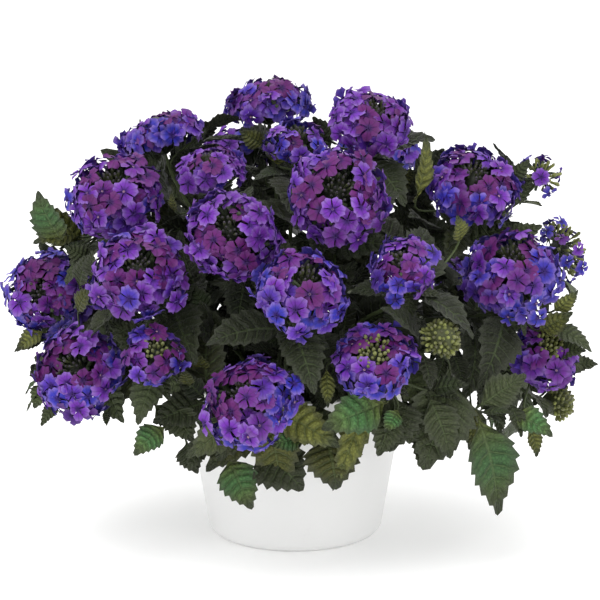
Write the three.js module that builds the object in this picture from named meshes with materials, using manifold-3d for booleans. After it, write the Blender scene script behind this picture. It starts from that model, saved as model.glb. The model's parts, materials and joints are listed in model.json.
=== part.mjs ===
// A potted garden verbena: a mound of square leafy stems with domed heads of five-petalled
// florets, rising from the potting soil of a plain white pot. Units are millimetres, +Z is up,
// and the origin is the centre of the flat underside of the pot. The front faces -Y.
import * as THREE from "three";
import { mergeVertices } from "three/addons/utils/BufferGeometryUtils.js";
import Module from "manifold-3d";

const wasm = await Module();
wasm.setup();

// Driving dimensions of the pot and its soil.
const pot = {
  height: 100, // foot to rim
  baseRadius: 53.5, // where the wall would meet the table
  cornerRadius: 7, // rounding between wall and base
  flare: 0.17, // growth in radius for each millimetre of height
  wall: 2.2,
  floor: 3,
  rimDepth: 11, // height of the thicker band under the lip
  rimProud: 1.6, // how far that band stands out
  sides: 24,
  drains: 5, // holes through the floor
  drainRadius: 4,
  drainCircle: 31,
};
const soil = {
  belowRim: 13, // soil level under the rim
  gap: 0.35, // clearance to the pot and to the stems
  sides: 24,
  lump: 1.4, // height of the crumbs on its surface
  holeDepth: 24, // how deep each stem stands
};
const stem = {
  rootHalf: 1.5, // half the width of the square stem at the soil
  tipHalf: 1.05, // and inside the flower head
  nodeHeight: 2.6, // length of stem that a pair of leaves grows from
  pairs: [66, 38, 13], // distances of the pairs of leaves from the flower head, lowest first
  bend: 0.55, // place of the plain section below the lowest pair
  spread: 47, // radius of the ring of holes that the lowest stems use
  rise: 62, // how strongly a stem starts upwards
  reach: 38, // how strongly it runs into its head
};
const mound = { x: 160, y: 145, z: 170, middle: 100 }; // half sizes of the plant and height of its middle
const leaf = {
  lengths: [62, 58, 47], // lower, middle and upper pair
  widthShare: 0.56, // width for each millimetre of length
  thick: 0.9,
  rootThick: 2,
  spare: 1.4, // room kept round a leaf
  longest: 72,
  shedWithin: 0.63, // share of the mound, from its middle, where leaves have been shed
  // Half outlines from stalk to tip for the three pairs, then for the leaves with a given tip:
  // place along the blade, share of half width.
  outlines: [
    [[0.12, 0.16], [0.36, 1], [0.44, 0.76], [0.7, 0.7]],
    [[0.12, 0.16], [0.36, 1], [0.44, 0.76], [0.7, 0.7]],
    [[0.14, 0.2], [0.4, 1], [0.48, 0.72], [0.72, 0.66]],
    [[0.12, 0.16], [0.34, 1], [0.41, 0.78], [0.6, 0.86], [0.67, 0.56], [0.84, 0.44]],
  ],
  ribs: [0.37, 0.7], // places of the midrib's two inner points
  cup: 0.16, // rise of the margins for each millimetre from the midrib
};
const head = {
  flat: 0.85, // height of the dome for each millimetre of radius
  core: 0.3, // size of the packed flower tubes, as a share of the radius
  hole: 2.7, // radius of the channel that the stem passes through
  tip: 1.03, // petal tips, petal notches and throat, as shares of the radius
  notch: 0.97,
  throat: 0.985,
  waist: 0.75, // distance of a notch from the floret's middle, for 1 at a petal tip
};

// Every shoot: centre and radius of its head, the way the head faces, and its kind. "open" has 15
// florets, "small" has 12, "young" has 8 round green buds, and "budded" is all green buds.
const shoots = [
  { name: "01", at: [-108, -36, 216], radius: 30, face: [-0.1, -0.55, 0.83], kind: "open" },
  { name: "02", at: [-84, 17, 247], radius: 27.5, face: [-0.3, 0.1, 0.95], kind: "open" },
  { name: "03", at: [-50, -28, 232], radius: 22, face: [-0.1, -0.2, 1], kind: "small" },
  { name: "04", at: [-17, 20, 265], radius: 27, face: [-0.1, 0, 1], kind: "open" },
  { name: "05", at: [1, -37, 249], radius: 19, face: [0.15, -0.45, 0.86], kind: "small" },
  { name: "06", at: [46, -19, 260], radius: 26, face: [0.17, -0.5, 0.82], kind: "small" },
  { name: "07", at: [24, -86, 226], radius: 30.5, face: [0.1, -0.85, 0.5], kind: "open" },
  { name: "08", at: [-37, -94, 205], radius: 27.5, face: [-0.05, -0.9, 0.42], kind: "open" },
  { name: "09", at: [-91, -90, 181], radius: 29, face: [0, -0.76, 0.6], kind: "open" },
  { name: "10", at: [-151, -8, 152], radius: 28, face: [-0.25, -0.85, 0.4], kind: "small" },
  { name: "11", at: [-127, -80, 120], radius: 29.5, face: [-0.3, -0.82, 0.45], kind: "open" },
  { name: "12", at: [-81, -107, 137], radius: 18, face: [0.05, -0.75, 0.6], kind: "young" },
  { name: "13", at: [3, -128, 177], radius: 27.5, face: [0.2, -0.55, 0.82], kind: "open" },
  { name: "14", at: [-25, -137, 115], radius: 29.5, face: [-0.35, -0.6, 0.73], kind: "open" },
  { name: "15", at: [62, -108, 188], radius: 21, face: [-0.3, -0.6, 0.75], kind: "small" },
  { name: "16", at: [45, -129, 138], radius: 24.5, face: [-0.1, -0.7, 0.7], kind: "young" },
  { name: "17", at: [108, -17, 220], radius: 29, face: [0.2, -0.6, 0.78], kind: "open" },
  { name: "18", at: [130, -52, 172], radius: 31.5, face: [-0.05, -0.55, 0.83], kind: "open" },
  { name: "19", at: [150, -28, 118], radius: 23, face: [0.4, -0.6, 0.7], kind: "young" },
  { name: "20", at: [166, 32, 172], radius: 22, face: [0.9, 0, 0.45], kind: "small" },
  { name: "21", at: [-112, 66, 190], radius: 27, face: [-0.6, 0.4, 0.7], kind: "small" },
  { name: "22", at: [-36, 90, 224], radius: 28, face: [-0.2, 0.5, 0.84], kind: "small" },
  { name: "23", at: [54, 82, 226], radius: 27, face: [0.3, 0.45, 0.84], kind: "small" },
  { name: "24", at: [-132, 74, 124], radius: 26, face: [-0.75, 0.45, 0.5], kind: "small" },
  { name: "25", at: [-60, 126, 158], radius: 28, face: [-0.3, 0.8, 0.5], kind: "small" },
  { name: "26", at: [36, 130, 168], radius: 28, face: [0.2, 0.8, 0.55], kind: "small" },
  { name: "27", at: [112, 98, 128], radius: 26, face: [0.6, 0.65, 0.5], kind: "small" },
  { name: "28", at: [84, -112, 148], radius: 12, face: [0.4, -0.7, 0.6], kind: "budded" },
  { name: "29", at: [163, -8, 84], radius: 12, face: [0.9, -0.25, 0.3], kind: "budded" },
  { name: "30", at: [151, 8, 222], radius: 16, face: [0.5, -0.4, 0.75], kind: "small" },
];
// Ends of the leafy side twigs, and tips of the leaves that hang at the skirt or fill a gap between
// heads. Each grows from whichever node suits it best; all other leaves follow a rule.
const twigEnds = [
  [-134, -8, 182], [116, -88, 96], [-6, -100, 98], [-156, -40, 108], [70, -48, 186],
  [-16, 112, 98], [-88, 96, 96], [70, 102, 100], [148, 40, 106], [-60, -84, 104],
  [84, -92, 112],
];
const leafTips = [
  [120, -92, 33], [92, -98, 66], [-158, -22, 213], [-172, -12, 114], [-160, -50, 78], [-112, -88, 74],
  [-95, -102, 70], [-68, -106, 72], [-54, -104, 64], [-24, -112, 42], [-8, -106, 58],
  [22, -112, 57], [30, -124, 84], [54, -116, 76], [77, -100, 62],
  [75, -98, 96], [106, -80, 106],
  [152, -50, 74], [143, -58, 60], [186, -5, 106], [170, -26, 152], [86, 0, 247],
  [62, -48, 222], [76, -40, 200], [58, -66, 194], [90, -30, 176], [-78, -30, 243],
  [-50, -62, 150], [-12, -52, 200], [66, -38, 212], [-34, -70, 142],
  [-34, 118, 40], [14, 118, 48], [-70, 100, 52], [60, 100, 56],
];
// Florets round a head, from its kind: how many stand round the top, the angles from the
// head's axis of the top ring and of the two rows below it, and the half angle of a floret.
const floretPlans = {
  open: { round: 5, top: 39.5, upper: 79.5, lower: 102, half: 20 },
  small: { round: 4, top: 41, upper: 84, lower: 106, half: 21.8 },
  young: { round: 4, top: null, upper: 84, lower: 106, half: 21.8 },
};
// Rings of green buds at the top of a shoot, from below: how many bumps and dips, their angle from
// the axis and their distance, as a share of the head's radius; then how far out the centre is.
const budPlans = {
  open: { rings: [{ count: 10, polar: 13.5, radius: 0.93, shift: 0 }], centre: 0.99 },
  small: { rings: [{ count: 10, polar: 14.5, radius: 0.93, shift: 0 }], centre: 0.99 },
  young: { rings: [{ count: 10, polar: 48, radius: 0.8, shift: 0 }, { count: 6, polar: 24, radius: 0.98, shift: 0.5 }], centre: 0.95 },
  budded: { rings: [{ count: 10, polar: 80, radius: 0.95, shift: 0 }, { count: 6, polar: 38, radius: 1.05, shift: 0.5 }], centre: 1.1 },
};

const degrees = Math.PI / 180;
const up = new THREE.Vector3(0, 0, 1);
const soilTop = pot.height - soil.belowRim;
const crown = new THREE.Vector3(0, 0, soilTop);
const vector = (x, y, z) => new THREE.Vector3(x, y, z);

// A repeatable number from 0 to 1 for a whole number.
function chance(seed) {
  let x = Math.imul(seed ^ 0x9e3779b9, 0x85ebca6b) >>> 0;
  x ^= x >>> 13;
  x = Math.imul(x, 0xc2b2ae35) >>> 0;
  x ^= x >>> 16;
  return (x >>> 0) / 4294967296;
}

// Three square axes, the third along the given direction.
function axesAlong(direction) {
  const w = direction.clone().normalize();
  const helper = Math.abs(w.z) < 0.9 ? up : vector(1, 0, 0);
  const u = helper.clone().cross(w).normalize();
  return { u, v: w.clone().cross(u), w };
}

// A closed mesh is gathered as points and triangles, and becomes a solid or a geometry.
const newMesh = () => ({ points: [], faces: [] });
const addPoint = (mesh, p) => mesh.points.push(p) - 1;

function solidOf(mesh) {
  const vertProperties = new Float32Array(mesh.points.flatMap((p) => [p.x, p.y, p.z]));
  const triVerts = new Uint32Array(mesh.faces.flat());
  return new wasm.Manifold(new wasm.Mesh({ numProp: 3, vertProperties, triVerts }));
}

function geometryOf(solid) {
  const { vertProperties, triVerts } = solid.getMesh();
  const made = new THREE.BufferGeometry();
  made.setAttribute("position", new THREE.BufferAttribute(vertProperties, 3));
  made.setIndex(new THREE.BufferAttribute(triVerts, 1));
  return made;
}

function solidOfGeometry(geometry) {
  const bare = geometry.clone();
  bare.deleteAttribute("normal");
  bare.deleteAttribute("uv");
  const merged = mergeVertices(bare, 1e-3);
  const vertProperties = new Float32Array(merged.attributes.position.array);
  const triVerts = new Uint32Array(merged.index.array);
  return new wasm.Manifold(new wasm.Mesh({ numProp: 3, vertProperties, triVerts }));
}

// Triangles between two open rows of points, walked in step by their places in placesA and placesB.
function zip(mesh, rowA, placesA, rowB, placesB, flip) {
  let i = 0;
  let j = 0;
  while (i < rowA.length - 1 || j < rowB.length - 1) {
    const takeA = j === rowB.length - 1 || (i < rowA.length - 1 && placesA[i + 1] <= placesB[j + 1]);
    const face = takeA ? [rowA[i], rowA[i + 1], rowB[j]] : [rowA[i], rowB[j + 1], rowB[j]];
    if (new Set(face).size === 3) mesh.faces.push(flip ? face.toReversed() : face);
    if (takeA) i += 1;
    else j += 1;
  }
}

// Pot: one turned shell with a thicker rim band, rounded foot and drain holes.
const outerRadius = (z) => pot.baseRadius + pot.flare * z;

function makePot() {
  const bandFoot = pot.height - pot.rimDepth;
  const rimRadius = outerRadius(pot.height) + pot.rimProud;
  const inside = (z) => outerRadius(z) - pot.wall;
  const profile = [
    [0, 0],
    [pot.baseRadius - pot.cornerRadius, 0],
    [outerRadius(2) - 2, 1.6],
    [outerRadius(pot.cornerRadius), pot.cornerRadius],
    [outerRadius(bandFoot), bandFoot],
    [outerRadius(bandFoot) + pot.rimProud, bandFoot + 1.2],
    [rimRadius, pot.height - 1],
    [rimRadius - 1, pot.height],
    [inside(pot.height), pot.height],
    [inside(pot.floor + 4), pot.floor + 4],
    [inside(pot.floor) - 4, pot.floor],
    [0, pot.floor],
  ];
  const turned = new THREE.LatheGeometry(profile.map(([r, z]) => new THREE.Vector2(r, z)), pot.sides);
  let shell = solidOfGeometry(turned.rotateX(90 * degrees));
  for (let k = 0; k < pot.drains; k += 1) {
    const angle = (360 * degrees * k) / pot.drains;
    const drill = new THREE.CylinderGeometry(pot.drainRadius, pot.drainRadius, 3 * pot.floor, 6);
    drill.rotateX(90 * degrees);
    drill.translate(pot.drainCircle * Math.cos(angle), pot.drainCircle * Math.sin(angle), pot.floor / 2);
    shell = shell.subtract(solidOfGeometry(drill));
  }
  return shell;
}

// Soil: a turned plug whose top is raised in crumbs by a formula, with a plain hole for each stem.
function makeSoil(routes) {
  const bottom = pot.floor + soil.gap;
  const inside = (z) => outerRadius(z) - pot.wall - soil.gap;
  const profile = [
    [0, bottom],
    [inside(bottom) - 4.2, bottom],
    [inside(bottom + 4), bottom + 4],
    [inside(soilTop), soilTop],
    [inside(soilTop) * 0.74, soilTop + 1],
    [inside(soilTop) * 0.4, soilTop + 1],
    [0, soilTop + 1],
  ];
  const turned = new THREE.LatheGeometry(profile.map(([r, z]) => new THREE.Vector2(r, z)), soil.sides);
  turned.rotateX(90 * degrees);
  const place = turned.attributes.position;
  for (let i = 0; i < place.count; i += 1) {
    const [x, y, z] = [place.getX(i), place.getY(i), place.getZ(i)];
    const crumb = Math.sin(x * 0.31 + y * 0.17) * Math.cos(y * 0.27 - x * 0.11);
    if (z > soilTop + 0.5) place.setZ(i, z + soil.lump * crumb);
  }
  let plug = solidOfGeometry(turned);
  const width = 2 * (stem.rootHalf + soil.gap);
  for (const route of routes) {
    const drill = new THREE.BoxGeometry(width, width, 2 * soil.holeDepth);
    drill.rotateZ(route.turn);
    drill.translate(route.hole.x, route.hole.y, soilTop + 1);
    plug = plug.subtract(solidOfGeometry(drill));
  }
  return plug;
}

// A shoot as a row of sections: straight up out of its hole, one smooth curve with a short node for
// each pair of leaves, and straight into its head. The axes are carried along without twisting.
function makeRoute(shoot) {
  const at = vector(...shoot.at);
  const face = vector(...shoot.face).normalize();
  const outward = at.clone().sub(crown);
  const level = vector(outward.x, outward.y, 0);
  const low = level.length() / outward.length(); // 1 for a shoot that leaves level, 0 straight up
  const hole = level.clone().setLength(stem.spread * low).setZ(soilTop + 2);
  const hasHead = shoot.kind in floretPlans;
  const neck = (hasHead ? 0.62 : 1) * shoot.radius * head.flat;
  const end = at.clone().addScaledVector(face, -neck);
  const before = end.clone().addScaledVector(face, -stem.reach);
  before.z = Math.max(before.z, pot.height + 10);
  const rise = stem.rise * (0.75 + 0.5 * low);
  const curve = new THREE.CubicBezierCurve3(hole, hole.clone().addScaledVector(up, rise), before, end);
  const length = curve.getLength();
  const inHead = { open: 0.42, small: 0.42, young: 0.32, budded: -0.7 }[shoot.kind];
  const top = at.clone().addScaledVector(face, inHead * shoot.radius * head.flat);

  const sections = [{ centre: hole.clone().setZ(soilTop + 1 - soil.holeDepth + soil.gap), heading: up, along: 0 }];
  sections.push({ centre: hole, heading: up, along: 0 });
  const bend = stem.bend * (1 - stem.pairs[0] / length);
  sections.push({ centre: curve.getPointAt(bend), heading: curve.getTangentAt(bend), along: bend });
  stem.pairs.forEach((distance, pair) => {
    const along = 1 - distance / length;
    addNodeSections(sections, curve.getPointAt(along), curve.getTangentAt(along), along, pair);
  });
  sections.push({ centre: end, heading: face, along: 1 }, { centre: top, heading: face, along: 1 });
  const turn = 2 * Math.PI * chance(shoot.at[0] + 900);
  carryAxes(sections, vector(Math.cos(turn), Math.sin(turn), 0));
  return { shoot, at, face, hole, top, turn, sections };
}

// Gives each section its two axes across the stem, carried along without twisting, and its size.
function carryAxes(sections, start) {
  let across = start;
  for (const section of sections) {
    across = across.clone().projectOnPlane(section.heading).normalize();
    section.half = THREE.MathUtils.lerp(stem.rootHalf, stem.tipHalf, section.along);
    section.across = across;
    section.other = section.heading.clone().cross(across);
  }
}

// A node is a short length of straight stem whose four faces can each grow a leaf or a twig.
function addNodeSections(sections, centre, heading, along, pair) {
  const back = centre.clone().addScaledVector(heading, -stem.nodeHeight / 2);
  const fore = centre.clone().addScaledVector(heading, stem.nodeHeight / 2);
  sections.push({ centre: back, heading, along, pair, middle: centre, grown: {} });
  sections.push({ centre: fore, heading, along });
}

// Leafy side twig: a curve out of a node's face that ends in a point, with one node of its own.
function makeTwig(section, face, end) {
  const from = rootOf(section, face);
  const out = wayOut(section, face);
  const far = from.distanceTo(end);
  const curve = new THREE.CubicBezierCurve3(
    from,
    from.clone().addScaledVector(out, 0.4 * far),
    end.clone().addScaledVector(up, -0.15 * far).lerp(from, 0.25),
    end,
  );
  const sections = [{ centre: curve.getPointAt(0.4), heading: curve.getTangentAt(0.4), along: 0.9 }];
  addNodeSections(sections, curve.getPointAt(0.82), curve.getTangentAt(0.82), 1, 1);
  const side = section.across.clone().multiplyScalar(face % 2 ? 0 : 1).addScaledVector(section.other, face % 2 ? 1 : 0);
  if (face > 1) side.negate();
  carryAxes(sections, side);
  return { sections, end, start: curve.getPointAt(0.05) };
}

const cornersOf = (mesh, { centre, half, across, other }) =>
  [[1, 1], [-1, 1], [-1, -1], [1, -1]].map(([a, b]) =>
    addPoint(mesh, centre.clone().addScaledVector(across, a * half).addScaledVector(other, b * half)));

// Carries a square stem on from a ring of four corners through its sections, with whatever has
// grown from the faces of its nodes, and gives the last four corners.
function sweep(mesh, first, grownAtFirst, sections) {
  let [ring, grown] = [first, grownAtFirst];
  for (const section of sections) {
    const next = cornersOf(mesh, section);
    for (let c = 0; c < 4; c += 1) {
      const d = (c + 1) % 4;
      const growth = grown?.[c];
      if (growth?.sections) addTwig(mesh, growth, [ring[c], ring[d], next[d], next[c]]);
      else if (growth) addLeaf(mesh, growth, [ring[c], ring[d], next[d], next[c]]);
      else mesh.faces.push([ring[c], ring[d], next[d]], [ring[c], next[d], next[c]]);
    }
    [ring, grown] = [next, section.grown];
  }
  return ring;
}

function addTwig(mesh, twig, root) {
  const ring = sweep(mesh, root, null, twig.sections);
  const tip = addPoint(mesh, twig.end);
  ring.forEach((a, c) => mesh.faces.push([a, ring[(c + 1) % 4], tip]));
}

// A whole shoot: stem, twigs, leaves and the green buds at the top, each continued from the stem's
// own corners, so that all is one surface.
function shootMesh({ shoot, at, face, top, sections }) {
  const mesh = newMesh();
  const root = cornersOf(mesh, sections[0]);
  mesh.faces.push([root[2], root[1], root[0]], [root[3], root[2], root[0]]);
  addBuds(mesh, { shoot, at, face, top }, sweep(mesh, root, null, sections.slice(1)));
  return mesh;
}

// Flower head in its own axes, on a sphere of radius 1. A core of triangles and quads carries one
// floret on each face; a channel runs through it along the axis for the stem.
function headMesh(shoot, seed) {
  const plan = floretPlans[shoot.kind];
  const n = plan.round;
  const mesh = newMesh();
  const ring = (radius, z, shift) =>
    Array.from({ length: n }, (_, k) => {
      const angle = (2 * Math.PI * (k + shift)) / n;
      return addPoint(mesh, vector(radius * Math.cos(angle), radius * Math.sin(angle), z));
    });
  const channel = head.hole / shoot.radius;
  const top = ring(channel, 0.92 * head.core, 0);
  const upper = ring(0.89 * head.core, 0.45 * head.core, 0);
  const lower = ring(0.89 * head.core, -0.45 * head.core, 0.5);
  const bottom = ring(channel, -0.8 * head.core, 0.5);
  for (let k = 0; k < n; k += 1) {
    const next = (k + 1) % n;
    const before = (k + n - 1) % n;
    const middle = (2 * Math.PI * (k + 0.5)) / n;
    const start = (2 * Math.PI * k) / n;
    const lid = [top[k], upper[k], upper[next], top[next]];
    if (plan.top) addFloret(mesh, lid, middle, plan.top, plan.half, seed + 3 * k);
    else mesh.faces.push([lid[0], lid[1], lid[2]], [lid[0], lid[2], lid[3]]);
    addFloret(mesh, [upper[k], lower[k], upper[next]], middle, plan.upper, plan.half, seed + 3 * k + 1);
    addFloret(mesh, [lower[before], lower[k], upper[k]], start, plan.lower, plan.half, seed + 3 * k + 2);
    mesh.faces.push([lower[k], bottom[k], bottom[next]], [lower[k], bottom[next], lower[next]]);
    mesh.faces.push([top[k], top[next], bottom[k]], [bottom[k], top[next], bottom[next]]);
  }
  return mesh;
}

// One floret: a tube that widens from a face of the core to five petals with a sunk throat.
function addFloret(mesh, root, azimuth, polar, half, seed) {
  const tilt = polar * degrees;
  const out = vector(Math.sin(tilt) * Math.cos(azimuth), Math.sin(tilt) * Math.sin(azimuth), Math.cos(tilt));
  const { u, v, w } = axesAlong(out);
  const depth = 1 - 0.05 * chance(seed);
  const turn = 72 * degrees * chance(seed + 500);
  const onPetal = (angle, spread, radius) =>
    w.clone().multiplyScalar(radius * depth * Math.cos(spread))
      .addScaledVector(u, radius * depth * Math.sin(spread) * Math.cos(angle))
      .addScaledVector(v, radius * depth * Math.sin(spread) * Math.sin(angle));
  const throat = addPoint(mesh, onPetal(0, 0, head.throat));
  const notches = [];
  const tips = [];
  for (let k = 0; k < 5; k += 1) {
    const angle = turn + 72 * degrees * k;
    notches.push(addPoint(mesh, onPetal(angle, head.waist * half * degrees, head.notch)));
    tips.push(addPoint(mesh, onPetal(angle + 36 * degrees, half * degrees, head.tip)));
  }
  for (let k = 0; k < 5; k += 1) {
    const next = (k + 1) % 5;
    mesh.faces.push([throat, notches[k], tips[k]], [throat, tips[k], notches[next]]);
    mesh.faces.push([notches[k], notches[next], tips[k]]);
  }
  const angleOf = (i) => Math.atan2(mesh.points[i].dot(v), mesh.points[i].dot(u));
  const upperPlaces = [0, 1, 2, 3, 4, 5].map((k) => turn + 72 * degrees * k);
  const wrapped = (angle) => turn + THREE.MathUtils.euclideanModulo(angle - turn + Math.PI, 2 * Math.PI) - Math.PI;
  const order = root.map((i) => [wrapped(angleOf(i)), i]);
  let first = 0;
  order.forEach(([angle], k) => {
    if (Math.abs(angle - turn) < Math.abs(order[first][0] - turn)) first = k;
  });
  const lowerRow = root.map((_, k) => root[(first + k) % root.length]);
  const lowerPlaces = [order[first][0]];
  for (let k = 1; k < root.length; k += 1) {
    const step = THREE.MathUtils.euclideanModulo(angleOf(lowerRow[k]) - lowerPlaces[k - 1], 2 * Math.PI);
    lowerPlaces.push(lowerPlaces[k - 1] + step);
  }
  lowerRow.push(lowerRow[0]);
  lowerPlaces.push(lowerPlaces[0] + 2 * Math.PI);
  zip(mesh, lowerRow, lowerPlaces, [...notches, notches[0]], upperPlaces, false);
}

// Green buds at the top of a shoot: pointed bumps round a centre, spread from the stem's end.
function addBuds(mesh, route, stemEnd) {
  const plan = budPlans[route.shoot.kind];
  const place = placerOnHead(route);
  const ring = ({ count, polar, radius, shift }) =>
    Array.from({ length: count }, (_, k) => {
      const angle = (2 * Math.PI * (k + shift)) / count;
      const tilt = polar * degrees * (k % 2 ? 0.8 : 1);
      const r = radius * (k % 2 ? 0.88 : 1);
      return addPoint(mesh, place(vector(r * Math.sin(tilt) * Math.cos(angle), r * Math.sin(tilt) * Math.sin(angle), r * Math.cos(tilt))));
    });
  const { u, v } = axesAlong(route.face);
  let row = stemEnd;
  for (const level of plan.rings) {
    const next = ring(level);
    const placesOf = (one) => {
      const angles = one.map((i) => {
        const d = mesh.points[i].clone().sub(route.top);
        return Math.atan2(d.dot(v), d.dot(u)) / (2 * Math.PI);
      });
      const start = angles.indexOf(Math.min(...angles));
      const turned = one.map((_, k) => one[(start + k) % one.length]);
      const places = one.map((_, k) => angles[(start + k) % one.length]);
      return { row: [...turned, turned[0]], places: [...places, places[0] + 1] };
    };
    const [below, above] = [placesOf(row), placesOf(next)];
    zip(mesh, below.row, below.places, above.row, above.places, false);
    row = next;
  }
  const centre = addPoint(mesh, place(vector(0, 0, plan.centre)));
  row.forEach((a, k) => mesh.faces.push([centre, a, row[(k + 1) % row.length]]));
}

// Takes a point on the unit sphere to the shoot's head, flattened along the way it faces.
function placerOnHead({ at, face, shoot }) {
  const { u, v, w } = axesAlong(face);
  return (p) =>
    at.clone()
      .addScaledVector(u, p.x * shoot.radius)
      .addScaledVector(v, p.y * shoot.radius)
      .addScaledVector(w, p.z * shoot.radius * head.flat);
}

// The way out of a node's face, turned by an angle round the stem.
function wayOut(section, face, turn = 0) {
  const angle = (90 * (1 + face) + turn) * degrees;
  return section.across.clone().multiplyScalar(Math.cos(angle)).addScaledVector(section.other, Math.sin(angle));
}

const rootOf = (section, face) =>
  section.middle.clone().addScaledVector(wayOut(section, face), section.half);

// A leaf by the rule: where it starts, the way it sets out, its upper side, its length and droop.
function ruledLeaf(section, face, seed, option) {
  const from = rootOf(section, face);
  const sideways = wayOut(section, face, option.turn + 20 * (chance(seed) - 0.5));
  const open = (56 + option.open + 16 * (chance(seed + 1) - 0.5)) * degrees;
  const ahead = section.heading.clone().multiplyScalar(Math.cos(open)).addScaledVector(sideways, Math.sin(open));
  const light = from.clone().sub(crown).normalize().addScaledVector(up, 0.7);
  light.addScaledVector(sideways, 0.5 * (chance(seed + 2) - 0.5));
  const above = light.projectOnPlane(ahead).normalize();
  const length = leaf.lengths[section.pair] * option.scale * (0.9 + 0.2 * chance(seed + 3));
  const droop = (38 + 34 * chance(seed + 4)) * degrees;
  return { pair: section.pair, from, ahead, above, across: ahead.clone().cross(above), length, droop };
}

// The way a leaf in the outer layer turns its upper side: outwards, and up.
const lightAt = (tip) => tip.clone().setZ(0).normalize().add(vector(0, Math.sign(tip.y), 0.8));

// A leaf whose tip is at a given point, arched like the others and seen best from outside.
function aimedLeaf(section, face, tip, seed, option) {
  const from = rootOf(section, face);
  const chord = tip.clone().sub(from).multiplyScalar(option.scale);
  const droop = (44 + option.open + 20 * chance(seed)) * degrees;
  const length = (chord.length() * droop) / (2 * Math.sin(droop / 2));
  const ahead = chord.normalize();
  const above = lightAt(tip).projectOnPlane(ahead).normalize().applyAxisAngle(ahead, option.turn * degrees);
  const across = ahead.clone().cross(above);
  ahead.applyAxisAngle(across, droop / 2);
  above.applyAxisAngle(across, droop / 2);
  return { pair: 3, tip, from, ahead, above, across, length, droop };
}

// Point of a leaf at a place along it, so far across and so far above its midrib.
function leafPoint(plan, place, across, lift) {
  const bent = plan.droop * place;
  const run = (plan.length * Math.sin(bent)) / plan.droop;
  const fall = (plan.length * (1 - Math.cos(bent))) / plan.droop;
  return plan.from.clone()
    .addScaledVector(plan.ahead, run + lift * Math.sin(bent))
    .addScaledVector(plan.above, lift * Math.cos(bent) - fall)
    .addScaledVector(plan.across, across);
}

// Arched, toothed blade with the same triangles above and below, from a root of four corners that
// run anticlockwise seen from the leaf. The corners nearest its upper side become its upper edge.
function addLeaf(mesh, plan, root, grow = 0) {
  const outline = leaf.outlines[plan.pair];
  const halfWidth = 0.5 * leaf.widthShare * plan.length + grow;
  const thick = 0.5 * (leaf.thick + grow);
  const middleOf = (a, b) => mesh.points[a].clone().add(mesh.points[b]).dot(plan.above);
  let shift = 0;
  for (const k of [1, 2, 3])
    if (middleOf(root[(k + 2) % 4], root[(k + 3) % 4]) > middleOf(root[(shift + 2) % 4], root[(shift + 3) % 4])) shift = k;
  const [lowRight, lowLeft, highLeft, highRight] = [0, 1, 2, 3].map((k) => root[(k + shift) % 4]);
  const tip = addPoint(mesh, leafPoint(plan, 1 + grow / plan.length, 0, 0));
  const [right, left] = [1, -1].map((side) =>
    outline.map(([place, share]) => {
      const across = share * halfWidth;
      return addPoint(mesh, leafPoint(plan, place, side * across, leaf.cup * across));
    }));
  const [ribsAbove, ribsBelow] = [thick, -thick].map((lift) =>
    leaf.ribs.map((place) => addPoint(mesh, leafPoint(plan, place, 0, lift))));
  const places = [0, ...outline.map(([place]) => place), 1];
  const half = (ribs, corner, margin, flip) =>
    zip(mesh, [...ribs, tip], [...leaf.ribs, 1], [corner, ...margin, tip], places, flip);
  half(ribsAbove, highRight, right, true);
  half(ribsAbove, highLeft, left, false);
  half(ribsBelow, lowRight, right, false);
  half(ribsBelow, lowLeft, left, true);
  mesh.faces.push([highLeft, highRight, ribsAbove[0]], [lowRight, lowLeft, ribsBelow[0]]);
  mesh.faces.push([right[0], highRight, lowRight], [left[0], lowLeft, highLeft]);
}

// A leaf or a twig by itself, to try it against what is already placed; a spare makes it larger
// and a lift moves it up or down.
function trialLeaf(plan, spare = 0, lift = 0) {
  const mesh = newMesh();
  const size = spare ? 0.5 * leaf.rootThick + spare : 0.3 * leaf.rootThick;
  const root = [[1, -1], [-1, -1], [-1, 1], [1, 1]].map(([a, b]) =>
    addPoint(mesh, leafPoint(plan, spare ? 0 : 0.05, a * size, b * size)));
  mesh.faces.push([root[0], root[3], root[2]], [root[0], root[2], root[1]]);
  addLeaf(mesh, plan, root, spare);
  mesh.points.forEach((p) => p.addScaledVector(plan.above, lift));
  return solidOf(mesh);
}

function trialTwig(twig, spare) {
  const mesh = newMesh();
  const first = { ...twig.sections[0], centre: twig.start };
  const sections = [first, ...twig.sections].map((one) => ({ ...one, half: one.half + spare, grown: null }));
  const root = cornersOf(mesh, sections[0]);
  mesh.faces.push([root[2], root[1], root[0]], [root[3], root[2], root[0]]);
  addTwig(mesh, { sections: sections.slice(1), end: twig.end }, root);
  return solidOf(mesh);
}

// Ways to set a leaf, tried in turn until one is clear of everything already placed.
const leafOptions = [
  { turn: 0, open: 0, scale: 1 },
  { turn: 22, open: -6, scale: 1 },
  { turn: -22, open: -6, scale: 1 },
  { turn: 0, open: -20, scale: 0.86 },
  { turn: 38, open: 0, scale: 0.86 },
  { turn: -38, open: 0, scale: 0.86 },
  { turn: 12, open: 12, scale: 0.7 },
  { turn: -30, open: -22, scale: 0.7 },
  { turn: 40, open: -14, scale: 0.6 },
];

const boxesMeet = (a, b) => [0, 1, 2].every((k) => a.min[k] < b.max[k] && b.min[k] < a.max[k]);

// Clear of its own stem as it is, and of everything else with room to spare.
function isClear(close, roomy, owner, obstacles) {
  return [close, ...roomy].every((trial) => {
    const box = trial.boundingBox();
    return obstacles.every((one) =>
      (one.owner === owner) !== (trial === close) || !boxesMeet(box, one.box) || trial.intersect(one.solid).volume() < 0.01);
  });
}

// Colours and finishes, one material for each kind of piece.
const finishes = {
  pot: { color: 0xe9e9e7, roughness: 0.45 },
  soil: { color: 0x2a1d14, roughness: 1 },
  bloom: { color: 0x6b2fa0, roughness: 0.6 },
  leaves: { color: 0x2f4a1f, roughness: 0.65 },
};
const model = new THREE.Group();

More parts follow.
